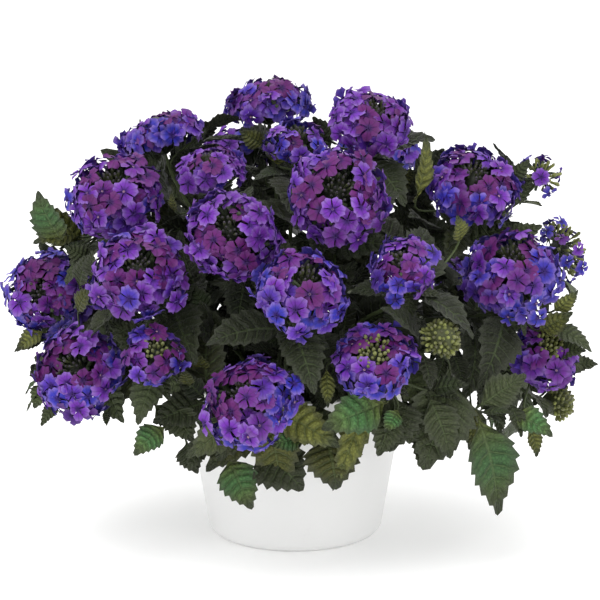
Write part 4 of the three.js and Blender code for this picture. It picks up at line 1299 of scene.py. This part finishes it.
def addTurned(sketch, profile, sides, tint, tipTint=None):
    # a closed turned shape from rows of radius, height and map place; end rows close on the axis
    rings = []
    for radius, height, mapped in profile:
        angles = 2 * math.pi * np.arange(sides if radius else 1) / sides
        count = len(angles)
        ring = np.column_stack([radius * np.cos(angles), radius * np.sin(angles), np.full(count, height)])
        color = tipTint if tipTint is not None and mapped > 0.5 else tint
        rings.append((addPoints(sketch, ring / mm, (0.5, mapped), tint=color, blade=0, luck=0), count))
    for (a, countA), (b, countB) in zip(rings, rings[1:]):
        for k in range(sides):
            n = (k + 1) % sides
            corners = [a + k % countA, a + n % countA, b + n % countB, b + k % countB]
            sketch["faces"].append(tuple(dict.fromkeys(corners)))
    for ring, count in (rings[0], rings[-1]):
        if count > 1:
            sketch["faces"].append(tuple(ring + k for k in range(count)))


def floretMesh(number):
    shape = floretShape
    rng = random.Random(number)
    sketch = newSketch()
    for k in range(shape["petals"]):
        addPetal(sketch, k, number, rng)
    addTurned(sketch, shape["tube"], shape["petals"], tint=(1, 1, 1))
    return meshOf(sketch, "floret" + str(number), "petalMap", petal, sharp=60, layers=("blade",))


# profiles are rows of radius, height and place on the map
calyxShape = {
    "sides": 5,
    "profile": ((0.0, -1.0, 0), (0.06, -0.98, 0), (0.09, -0.6, 0), (0.17, -0.45, 0), (0.16, -0.2, 0),
                (0.0, -0.16, 0)),
}
budShape = {
    "sides": 6,
    "girths": (0.85, 1.1),
    "stalk": 0.1,  # wider rows than this have the bud's girth
    "profile": ((0.0, -1.6, 0), (0.1, -1.58, 0), (0.14, -0.7, 0), (0.21, -0.3, 0), (0.24, 0.0, 0),
                (0.2, 0.22, 0.8), (0.1, 0.4, 1), (0.0, 0.46, 1)),
}


def calyxMesh():
    sketch = newSketch()
    addTurned(sketch, calyxShape["profile"], calyxShape["sides"], tint=greenLook["calyx"])
    return meshOf(sketch, "calyx", "bladeMap", foliage, layers=("blade",))


def budMesh(name, number, tint, tipShare):
    shape = budShape
    rng = random.Random(40 + number)
    sketch = newSketch()
    girth = rng.uniform(*shape["girths"])
    profile = [(radius * girth if radius > shape["stalk"] else radius, height, mapped)
               for radius, height, mapped in shape["profile"]]
    tip = np.array(tint) * (1 - tipShare) + np.array(greenLook["budTip"]) * tipShare
    addTurned(sketch, profile, shape["sides"], tint=tint, tipTint=tip)
    return meshOf(sketch, name + str(number), "bladeMap", foliage, layers=("blade",))


def shelf(name, meshes):
    # a collection of shapes that the trees pick from
    collection = bpy.data.collections.new(name)
    bpy.context.scene.collection.children.link(collection)
    for mesh in meshes:
        collection.objects.link(bpy.data.objects.new(mesh.name, mesh))
    return collection


florets = shelf("florets", [floretMesh(number) for number in range(6)])
calyces = shelf("calyces", [calyxMesh()])
buds = shelf("buds", [budMesh("bud", k, greenLook["bud"], 0.5) for k in range(3)])
paleBuds = shelf("paleBuds", [budMesh("paleBud", k, greenLook["paleBud"], 0.12 * k) for k in range(4)])


# Geometry trees: chance values, what is kept on each point, and how a tree ends

randomSockets = {"FLOAT_VECTOR": (0, 0), "FLOAT": (2, 1), "INT": (4, 2)}  # each kind's first input, output


def chance(tree, kind, low, high, seed=None):
    first, output = randomSockets[kind]
    node = place(tree, "FunctionNodeRandomValue", {first: low, first + 1: high}, data_type=kind)
    if seed is not None:
        tree.links.new(seed, node.inputs["Seed"])
    return node.outputs[output]


def keep(tree, points, name, value):
    node = place(tree, "GeometryNodeStoreNamedAttribute", {"Geometry": points, "Name": name, "Value": value},
                 data_type="FLOAT", domain="POINT")
    return node.outputs[0]


def endTree(tree, start, end, copies, withBase=False):
    # the copies as real faces, with the mesh that they stand on if it is part of the piece
    made = place(tree, "GeometryNodeRealizeInstances", {"Geometry": copies}).outputs[0]
    if withBase:
        both = tree.nodes.new("GeometryNodeJoinGeometry")
        tree.links.new(start["Geometry"], both.inputs[0])
        tree.links.new(made, both.inputs[0])
        made = both.outputs[0]
    done = place(tree, "GeometryNodeSetMaterial", {"Geometry": made, "Material": start["Finish"]}).outputs[0]
    tree.links.new(done, end["Geometry"])


def grown(tree, base, name, **inputs):
    # runs a tree on a mesh and gives the result as a plain mesh
    carrier = addToScene("carrier", base)
    modifier = carrier.modifiers.new("tree", "NODES")
    modifier.node_group = tree
    for item in tree.interface.items_tree:
        if item.in_out == "INPUT" and item.name in inputs:
            modifier[item.identifier] = inputs[item.name]
    graph = bpy.context.evaluated_depsgraph_get()
    mesh = bpy.data.meshes.new_from_object(carrier.evaluated_get(graph))
    mesh.name = name
    carrier.modifiers.remove(modifier)
    bpy.data.objects.remove(carrier)
    return mesh


# Domes of florets, cups or buds

domeRule = {
    "goldenAngle": 2.39996,
    "wobble": 0.18,  # radians either way
    "turnBySeed": 1.7,
    "lumps": 1.4,  # scale of the bulges and hollows of a dome
    "lumpsBySeed": 3.7,
    "lumpDepth": 0.36,
    "lumpLeast": 0.8,
    "sizes": (0.9, 1.08),
    "fullTurn": 6.283,
    "lastShape": 11,  # picks past a shelf's last shape start at its first again
}


def draw(tree, start, low, high, shift, kind="FLOAT"):
    # a chance value for each point; the shift keeps the draws of a tree apart
    return chance(tree, kind, low, high, calc(tree, "ADD", start["Seed"], float(shift)))


def spiralOn(tree, start):
    # how far down the dome each point is, and where it is on a round dome of radius 1
    rule = domeRule
    index = tree.nodes.new("GeometryNodeInputIndex").outputs[0]
    share = calc(tree, "DIVIDE", calc(tree, "ADD", index, 0.5), start["Count"])
    top = calc(tree, "COSINE", start["First Angle"])
    bottom = calc(tree, "COSINE", start["Last Angle"])
    height = linear(tree, share, calc(tree, "SUBTRACT", bottom, top), top)
    wide = calc(tree, "SQRT", calc(tree, "SUBTRACT", 1.0, times(tree, height, height)))
    turnBySeed = times(tree, start["Seed"], rule["turnBySeed"])
    turned = calc(tree, "ADD", draw(tree, start, -rule["wobble"], rule["wobble"], 1), turnBySeed)
    angle = linear(tree, index, rule["goldenAngle"], turned)
    east = times(tree, wide, calc(tree, "COSINE", angle))
    north = times(tree, wide, calc(tree, "SINE", angle))
    return share, vectorOf(tree, east, north, height)


def pointsOn(tree, start, share, out, squash):
    # the points of the flattened dome, scattered in depth, with what the materials read
    rule = domeRule
    scattered = calc(tree, "SUBTRACT", 1.0, times(tree, start["Scatter"], draw(tree, start, 0.0, 1.0, 2)))
    shift = times(tree, start["Seed"], rule["lumpsBySeed"])
    lumps = place(tree, "ShaderNodeTexNoise",
                  {"Vector": out, "W": shift, "Scale": rule["lumps"], "Detail": 0.0}, noise_dimensions="4D")
    lumpy = linear(tree, lumps.outputs["Fac"], rule["lumpDepth"], rule["lumpLeast"])
    far = times(tree, start["Radius"], times(tree, scattered, lumpy))
    where = vectorCalc(tree, "SCALE", vectorCalc(tree, "MULTIPLY", out, squash), far)
    points = place(tree, "GeometryNodePoints", {"Count": start["Count"], "Position": where}).outputs[0]
    for label, value in (("ring", share), ("luck", draw(tree, start, 0, 1, 4)), ("blue", start["Blue"])):
        points = keep(tree, points, label, value)
    return points


def turnsOn(tree, start, out, squash):
    # each shape faces out, leans a little and has a turn of its own
    tilt = draw(tree, start, (-1, -1, -1), (1, 1, 1), 3, "FLOAT_VECTOR")
    lean = vectorCalc(tree, "SCALE", tilt, start["Tilt"])
    facing = vectorCalc(tree, "ADD", vectorCalc(tree, "DIVIDE", out, squash), lean)
    upright = place(tree, "FunctionNodeAlignRotationToVector", {"Vector": facing}, axis="Z").outputs[0]
    spin = vectorOf(tree, 0.0, 0.0, draw(tree, start, 0, domeRule["fullTurn"], 5))
    spin = place(tree, "FunctionNodeEulerToRotation", {"Euler": spin}).outputs[0]
    return place(tree, "FunctionNodeRotateRotation", {"Rotation": upright, "Rotate By": spin},
                 rotation_space="LOCAL").outputs[0]


def makeDomeTree():
    # spreads shapes evenly over a flattened dome, in a spiral, each facing out
    tree, start, end = newTree(
        "dome", "GeometryNodeTree",
        {"Shapes": ("Collection", None), "Count": ("Int", 20), "Radius": ("Float", 0.03),
         "Flatness": ("Float", 0.85), "First Angle": ("Float", 0.2), "Last Angle": ("Float", 1.8),
         "Size": ("Float", 0.0088), "Depth": ("Float", 0.0088), "Tilt": ("Float", 0.2),
         "Scatter": ("Float", 0.1), "Blue": ("Float", 0.3), "Seed": ("Int", 0), "Finish": ("Material", None)},
        {"Geometry": "Geometry"},
    )
    share, out = spiralOn(tree, start)
    squash = vectorOf(tree, 1.0, 1.0, start["Flatness"])
    points = pointsOn(tree, start, share, out, squash)
    rotation = turnsOn(tree, start, out, squash)
    broad = times(tree, start["Size"], draw(tree, start, *domeRule["sizes"], 6))
    size = vectorOf(tree, broad, broad, start["Depth"])
    choice = {"Collection": start["Shapes"], "Separate Children": True, "Reset Children": True}
    shapes = place(tree, "GeometryNodeCollectionInfo", choice).outputs[0]
    pick = chance(tree, "INT", 0, domeRule["lastShape"], start["Seed"])
    copies = place(tree, "GeometryNodeInstanceOnPoints",
                   {"Points": points, "Instance": shapes, "Pick Instance": True, "Instance Index": pick,
                    "Rotation": rotation, "Scale": size}).outputs[0]
    endTree(tree, start, end, copies)
    return tree


domeTree = makeDomeTree()

headShape = {
    "floret": 8.2,  # radius of a floret
    "sparseFloret": 0.68,
    "smallFloret": 0.85,  # on heads of less than the next radius
    "smallHead": 23,
    "share": 108,  # square millimetres of dome for each floret
    "sparseShare": 0.5,  # a sparse head has this share of the florets
    "spread": {"Tilt": 0.48, "Scatter": 0.2},
    "cupDepth": 0.8,  # length of a cup for each millimetre of a head's radius
    # cups whose florets have not opened stand between the rest
    "unopened": {"share": 75, "sparseShare": 0.4, "radius": 0.93, "depth": 0.85},
    "unopenedSpread": {"Tilt": 0.3, "Scatter": 0.14},
    "budShare": 11,
    "budSparse": 5,
    "fewestBuds": 9,
    "budLength": 4.0,
    "closedBud": (1.25, 0.8),  # width and length against buds inside a ring of florets
    "budSpread": {"Tilt": 0.2, "Scatter": 0.14},
    "lowered": 0.92,  # area of a flattened dome against a round one
    # first and last angle of the florets, then last angle and radius of the buds
    "open": (25, 108, 23, 0.8),
    "small": (23, 108, 21, 0.84),
    "sparse": (35, 105, 95, 0.88),
    "young": (32, 108, 29, 0.94),
    "budded": (0, 0, 105, 0.98),
}


def domeArea(radius, first, last):
    hemisphere = 2 * math.pi * radius**2
    return hemisphere * headShape["lowered"] * (math.cos(math.radians(first)) - math.cos(math.radians(last)))


def headMatrix(route):
    u, v, w = axesAlong(route["face"])
    matrix = Matrix(np.column_stack([u, v, w]).tolist()).to_4x4()
    matrix.translation = Vector(route["at"] * mm)
    return matrix


def domeOf(shoot, route, name, shapes, finish, share=1.0, shift=0, **inputs):
    # a dome of shapes at the place of a head, at this share of its radius
    base = bpy.data.meshes.new("seed")
    seed = int(shoot["name"]) * 10 + shift
    mesh = grown(domeTree, base, name, Shapes=shapes, Finish=finish, Radius=shoot["radius"] * mm * share,
                 Flatness=float(shoot["flat"]), Blue=float(shoot["blue"]), Seed=seed, **inputs)
    mesh.transform(headMatrix(route))
    return mesh


def floretsOf(shoot, route):
    shape = headShape
    first, last, _, _ = shape[shoot["kind"]]
    if not last:
        return None
    sparse = shoot["kind"] == "sparse"
    small = shoot["radius"] < shape["smallHead"]
    area = domeArea(shoot["radius"], first, last)
    size = shape["floret"] * mm * (shape["sparseFloret"] if sparse else shape["smallFloret"] if small else 1)
    deep = shoot["radius"] * shape["cupDepth"] * mm
    common = {"Size": size, "First Angle": math.radians(first), "Last Angle": math.radians(last)}
    count = round(area / shape["share"] * (shape["sparseShare"] if sparse else 1))
    spread = shape["spread"] | {"Count": count}
    name = "head_" + shoot["name"]
    heads = domeOf(shoot, route, name, florets, petal, Depth=size, **spread, **common)
    cups = domeOf(shoot, route, "cups", calyces, foliage, Depth=deep, **spread, **common)
    rest = shape["unopened"]
    spread = shape["unopenedSpread"] | {"Depth": deep * rest["depth"]}
    spread["Count"] = round(area / rest["share"] * (rest["sparseShare"] if sparse else 1))
    unopened = domeOf(shoot, route, "unopened", calyces, foliage, share=rest["radius"], shift=5,
                      **spread, **common)
    return heads, [cups, unopened]


def budsOf(shoot, route):
    shape = headShape
    _, _, last, share = shape[shoot["kind"]]
    closed = shoot["kind"] in ("budded", "sparse", "young")
    each = shape["budShare"] * (shape["budSparse"] if shoot["kind"] == "sparse" else 1)
    count = max(shape["fewestBuds"], round(domeArea(shoot["radius"] * share, 0, last) / each))
    wider, longer = shape["closedBud"] if closed else (1, 1)
    inputs = {"First Angle": 0.0, "Last Angle": math.radians(last), "Count": count,
              "Size": shape["budLength"] * mm * wider, "Depth": shape["budLength"] * mm * longer}
    shapes = paleBuds if closed else buds
    return domeOf(shoot, route, "buds", shapes, foliage, share=share, shift=3, **shape["budSpread"], **inputs)


# Fine hairs on the stems

hairShape = {
    "Length": 1.1 * mm,
    "Density": 240000.0,  # hairs for each square metre
}


def makeHairTree():
    tree, start, end = newTree(
        "hairs", "GeometryNodeTree",
        {"Geometry": ("Geometry", None), "Hair": ("Object", None), "Density": ("Float", 120000.0),
         "Length": ("Float", 0.001), "Seed": ("Int", 0), "Finish": ("Material", None)},
        {"Geometry": "Geometry"},
    )
    spots = place(tree, "GeometryNodeDistributePointsOnFaces",
                  {"Mesh": start["Geometry"], "Density": start["Density"], "Seed": start["Seed"]}).outputs
    hair = place(tree, "GeometryNodeObjectInfo", {"Object": start["Hair"]}).outputs["Geometry"]
    copies = place(tree, "GeometryNodeInstanceOnPoints",
                   {"Points": spots["Points"], "Instance": hair, "Rotation": spots["Rotation"],
                    "Scale": start["Length"]}).outputs[0]
    endTree(tree, start, end, copies, withBase=True)
    return tree


def hairMesh():
    sketch = newSketch()
    addTurned(sketch, [(0.09, -0.1, 0), (0.0, 1.0, 0)], 3, tint=np.array(greenLook["stem"]) * 2.2)
    return meshOf(sketch, "hair", "bladeMap", foliage)


hairTree = makeHairTree()
hair = addToScene("hair", hairMesh())
print("trees ready")


# Pieces: one of foliage for each shoot, and one of petals for each head

def joined(name, meshes):
    # several meshes as one, with their maps and attributes
    parts = [addToScene("part" + str(k), mesh) for k, mesh in enumerate(meshes)]
    with bpy.context.temp_override(active_object=parts[0], selected_editable_objects=parts):
        bpy.ops.object.join()
    parts[0].name = name
    parts[0].data.name = name
    return parts[0]


def finishPiece(piece, slot, *nodes):
    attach(piece, "root")
    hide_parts(*nodes)


def makeShoot(shoot):
    name = shoot["name"]
    rng = random.Random(int(name))
    route = routes[name]
    stems, leaves = newSketch(), newSketch()
    stemsOf(shoot, route, stems, rng)
    bare = meshOf(stems, "stems", "bladeMap", foliage)
    hairy = grown(hairTree, bare, "hairy", Hair=hair, Finish=foliage, Seed=int(name), **hairShape)
    leavesOf(shoot, route, leaves, rng)
    coreOf(shoot, route, leaves)
    parts = [hairy, meshOf(leaves, "leaves", "bladeMap", foliage), budsOf(shoot, route)]
    bloom = floretsOf(shoot, route)
    if bloom:
        heads, cups = bloom
        parts += cups
        finishPiece(addToScene("florets_" + name, heads), "petals", "head_" + name)
    finishPiece(joined("shoot_" + name, parts), "foliage", "stem_" + name)


for shoot in shoots:
    makeShoot(shoot)
print("shoots ready")


# Pot: a turned shell with a rim band, a rounded lip and drain holes, as in the part

potShape = {
    "height": 100, "baseRadius": 53.5, "corner": 7, "flare": 0.17, "wall": 2.2, "floor": 3, "rimDepth": 11,
    "rimProud": 1.6, "lip": 1.4, "insideCorner": 4, "sides": 120, "drains": 5, "drainRadius": 4,
    "drainCircle": 31, "sharp": 35,
    "outsideRows": (20, 40, 60, 76),
    "insideRows": (80, 60, 40, 20, 8),
    "rimStep": (0.5, 1.2),  # at the foot of the band, outward and upward
    "rimRow": 3,
    "bevel": 0.6,
}


def arc(centre, radius, first, last, steps):
    return [(centre[0] + radius * math.cos(math.radians(a)), centre[1] + radius * math.sin(math.radians(a)))
            for a in np.linspace(first, last, steps)]


def turnedMesh(name, rows, sides):
    # a closed mesh from rings of points; a ring of one point closes on the axis
    bm = bmesh.new()
    rings = [[bm.verts.new(point) for point in row] for row in rows]
    for a, b in zip(rings, rings[1:]):
        for k in range(sides):
            n = (k + 1) % sides
            corners = [a[k % len(a)], a[n % len(a)], b[n % len(b)], b[k % len(b)]]
            bm.faces.new(list(dict.fromkeys(corners)))
    bmesh.ops.recalc_face_normals(bm, faces=bm.faces)
    mesh = bpy.data.meshes.new(name)
    bm.to_mesh(mesh)
    bm.free()
    return mesh


def potProfile():
    # from the middle of the underside up the wall, over the lip and down to the middle of the floor
    shape = potShape
    height, corner, proud, lip = shape["height"], shape["corner"], shape["rimProud"], shape["lip"]
    rimFoot = height - shape["rimDepth"]
    outer = lambda z: shape["baseRadius"] + shape["flare"] * z
    inner = lambda z: outer(z) - shape["wall"]
    rim = outer(height) + proud
    profile = [(0, 0), (outer(corner) - corner - 1, 0)]
    profile += arc((outer(corner) - corner, corner), corner, -88, -8, 7)
    profile += [(outer(z), z) for z in (*shape["outsideRows"], rimFoot - 1)]
    outward, upward = shape["rimStep"]
    profile += [(outer(rimFoot) + outward, rimFoot), (outer(rimFoot) + proud, rimFoot + upward)]
    profile += [(outer(z) + proud, z) for z in (rimFoot + shape["rimRow"], height - shape["rimRow"])]
    profile += arc((rim - lip, height - lip), lip, 10, 90, 4)
    profile += [(inner(height) + shape["bevel"], height), (inner(height), height - shape["bevel"])]
    profile += [(inner(z), z) for z in shape["insideRows"]]
    insideCorner = shape["insideCorner"]
    low = shape["floor"] + insideCorner
    profile += arc((inner(low) - insideCorner, low), insideCorner, -10, -85, 4)
    profile += [(shape["drainCircle"] + 8, shape["floor"]), (0, shape["floor"])]
    return profile


def drilled(shell):
    # the shell's mesh with its drain holes
    shape = potShape
    circle, radius = shape["drainCircle"] * mm, shape["drainRadius"] * mm
    drills = []
    for k in range(shape["drains"]):
        turn = 2 * math.pi * k / shape["drains"]
        at = (circle * math.cos(turn), circle * math.sin(turn), shape["floor"] / 2 * mm)
        bpy.ops.mesh.primitive_cylinder_add(vertices=24, radius=radius, depth=12 * mm, location=at)
        drill = bpy.context.object
        cut = shell.modifiers.new("drain", "BOOLEAN")
        cut.object = drill
        cut.solver = "EXACT"
        drills.append(drill)
    graph = bpy.context.evaluated_depsgraph_get()
    done = bpy.data.meshes.new_from_object(shell.evaluated_get(graph))
    for thing in [shell, *drills]:
        bpy.data.objects.remove(thing)
    return done


def makePot():
    sides = potShape["sides"]
    rows = []
    for radius, z in potProfile():
        turns = [2 * math.pi * k / sides for k in range(sides if radius else 1)]
        rows.append([(radius * mm * math.cos(turn), radius * mm * math.sin(turn), z * mm) for turn in turns])
    done = drilled(addToScene("potShell", turnedMesh("shell", rows, sides)))
    done.materials.clear()
    done.materials.append(plastic)
    done.polygons.foreach_set("use_smooth", [True] * len(done.polygons))
    done.set_sharp_from_angle(angle=math.radians(potShape["sharp"]))
    finishPiece(addToScene("potWall", done), "pot", "pot")


makePot()


# Soil: a plug with a crumbly top, bark crumbs and pale grit on it

soilShape = {
    "level": 88,
    "gap": 0.5,
    "bevel": (4.5, 4),  # of the underside, inward and upward
    "sideRows": (45, 84),
    "rimShare": 0.985,
    "rings": 26,
    "sides": 96,
    "lumps": 0.45,
    "waves": 0.5,
    "waveTurns": (0.4, 5),  # for each millimetre outward, and for one turn round
    "crumbs": {"Density": 40000.0, "Size": 1.6 * mm, "Seed": 3},
    "crumbSizes": ((0.5, 0.4, 0.3), (1.7, 1.2, 0.8)),
}


def makeCrumbTree():
    tree, start, end = newTree(
        "crumbs", "GeometryNodeTree",
        {"Geometry": ("Geometry", None), "Crumb": ("Object", None), "Density": ("Float", 40000.0),
         "Size": ("Float", 0.0016), "Seed": ("Int", 3), "Finish": ("Material", None)},
        {"Geometry": "Geometry"},
    )
    normal = tree.nodes.new("GeometryNodeInputNormal").outputs[0]
    facing = place(tree, "ShaderNodeSeparateXYZ", {0: normal}).outputs["Z"]
    upward = place(tree, "FunctionNodeCompare", {0: facing, 1: 0.5}, operation="GREATER_THAN",
                   data_type="FLOAT").outputs[0]
    spots = place(tree, "GeometryNodeDistributePointsOnFaces",
                  {"Mesh": start["Geometry"], "Selection": upward, "Density": start["Density"],
                   "Seed": start["Seed"]})
    points = keep(tree, spots.outputs["Points"], "luck", chance(tree, "FLOAT", 0, 1))
    turn = chance(tree, "FLOAT_VECTOR", (0, 0, 0), (6.28, 6.28, 6.28))
    share = chance(tree, "FLOAT_VECTOR", *soilShape["crumbSizes"])
    size = vectorCalc(tree, "SCALE", share, start["Size"])
    crumb = place(tree, "GeometryNodeObjectInfo", {"Object": start["Crumb"]}).outputs["Geometry"]
    copies = place(tree, "GeometryNodeInstanceOnPoints",
                   {"Points": points, "Instance": crumb, "Rotation": turn, "Scale": size}).outputs[0]
    endTree(tree, start, end, copies, withBase=True)
    return tree


def crumbMesh():
    bm = bmesh.new()
    bmesh.ops.create_icosphere(bm, subdivisions=1, radius=1)
    mesh = bpy.data.meshes.new("crumb")
    bm.to_mesh(mesh)
    bm.free()
    return mesh


def plugRows():
    # from the middle of the underside up the side, and over the uneven top to its middle
    shape, pot = soilShape, potShape
    level = shape["level"]
    inner = lambda z: pot["baseRadius"] + pot["flare"] * z - pot["wall"] - shape["gap"]
    bottom = pot["floor"] + shape["gap"]
    inward, upward = shape["bevel"]
    profile = [(0, bottom), (inner(bottom) - inward, bottom), (inner(bottom + upward), bottom + upward)]
    profile += [(inner(z), z) for z in shape["sideRows"]]
    shares = np.linspace(shape["rimShare"], 0, shape["rings"])
    profile += [(inner(level - 1) * share, level) for share in shares]
    outward, around = shape["waveTurns"]
    rng = np.random.default_rng(5)
    for radius, z in profile:
        onTop = z == level
        count = shape["sides"] if radius > 0.01 else 1
        lumps = rng.normal(0, shape["lumps"], count) if onTop else np.zeros(count)
        angles = 2 * math.pi * np.arange(count) / shape["sides"]
        heights = [z + lump + shape["waves"] * math.sin(radius * outward + around * a) * onTop
                   for a, lump in zip(angles, lumps)]
        yield [(radius * mm * math.cos(a), radius * mm * math.sin(a), height * mm)
               for a, height in zip(angles, heights)]


def makeSoil():
    plug = turnedMesh("plug", plugRows(), soilShape["sides"])
    plug.polygons.foreach_set("use_smooth", [True] * len(plug.polygons))
    crumb = addToScene("crumb", crumbMesh())
    done = grown(makeCrumbTree(), plug, "soilTop", Crumb=crumb, Finish=pottingMix, **soilShape["crumbs"])
    bpy.data.objects.remove(crumb)
    finishPiece(addToScene("pottingSoil", done), "soil", "soil")


makeSoil()
print("pot and soil ready")

for collection in (florets, calyces, buds, paleBuds):
    for thing in list(collection.objects):
        bpy.data.objects.remove(thing)
    bpy.data.collections.remove(collection)
bpy.data.objects.remove(hair)
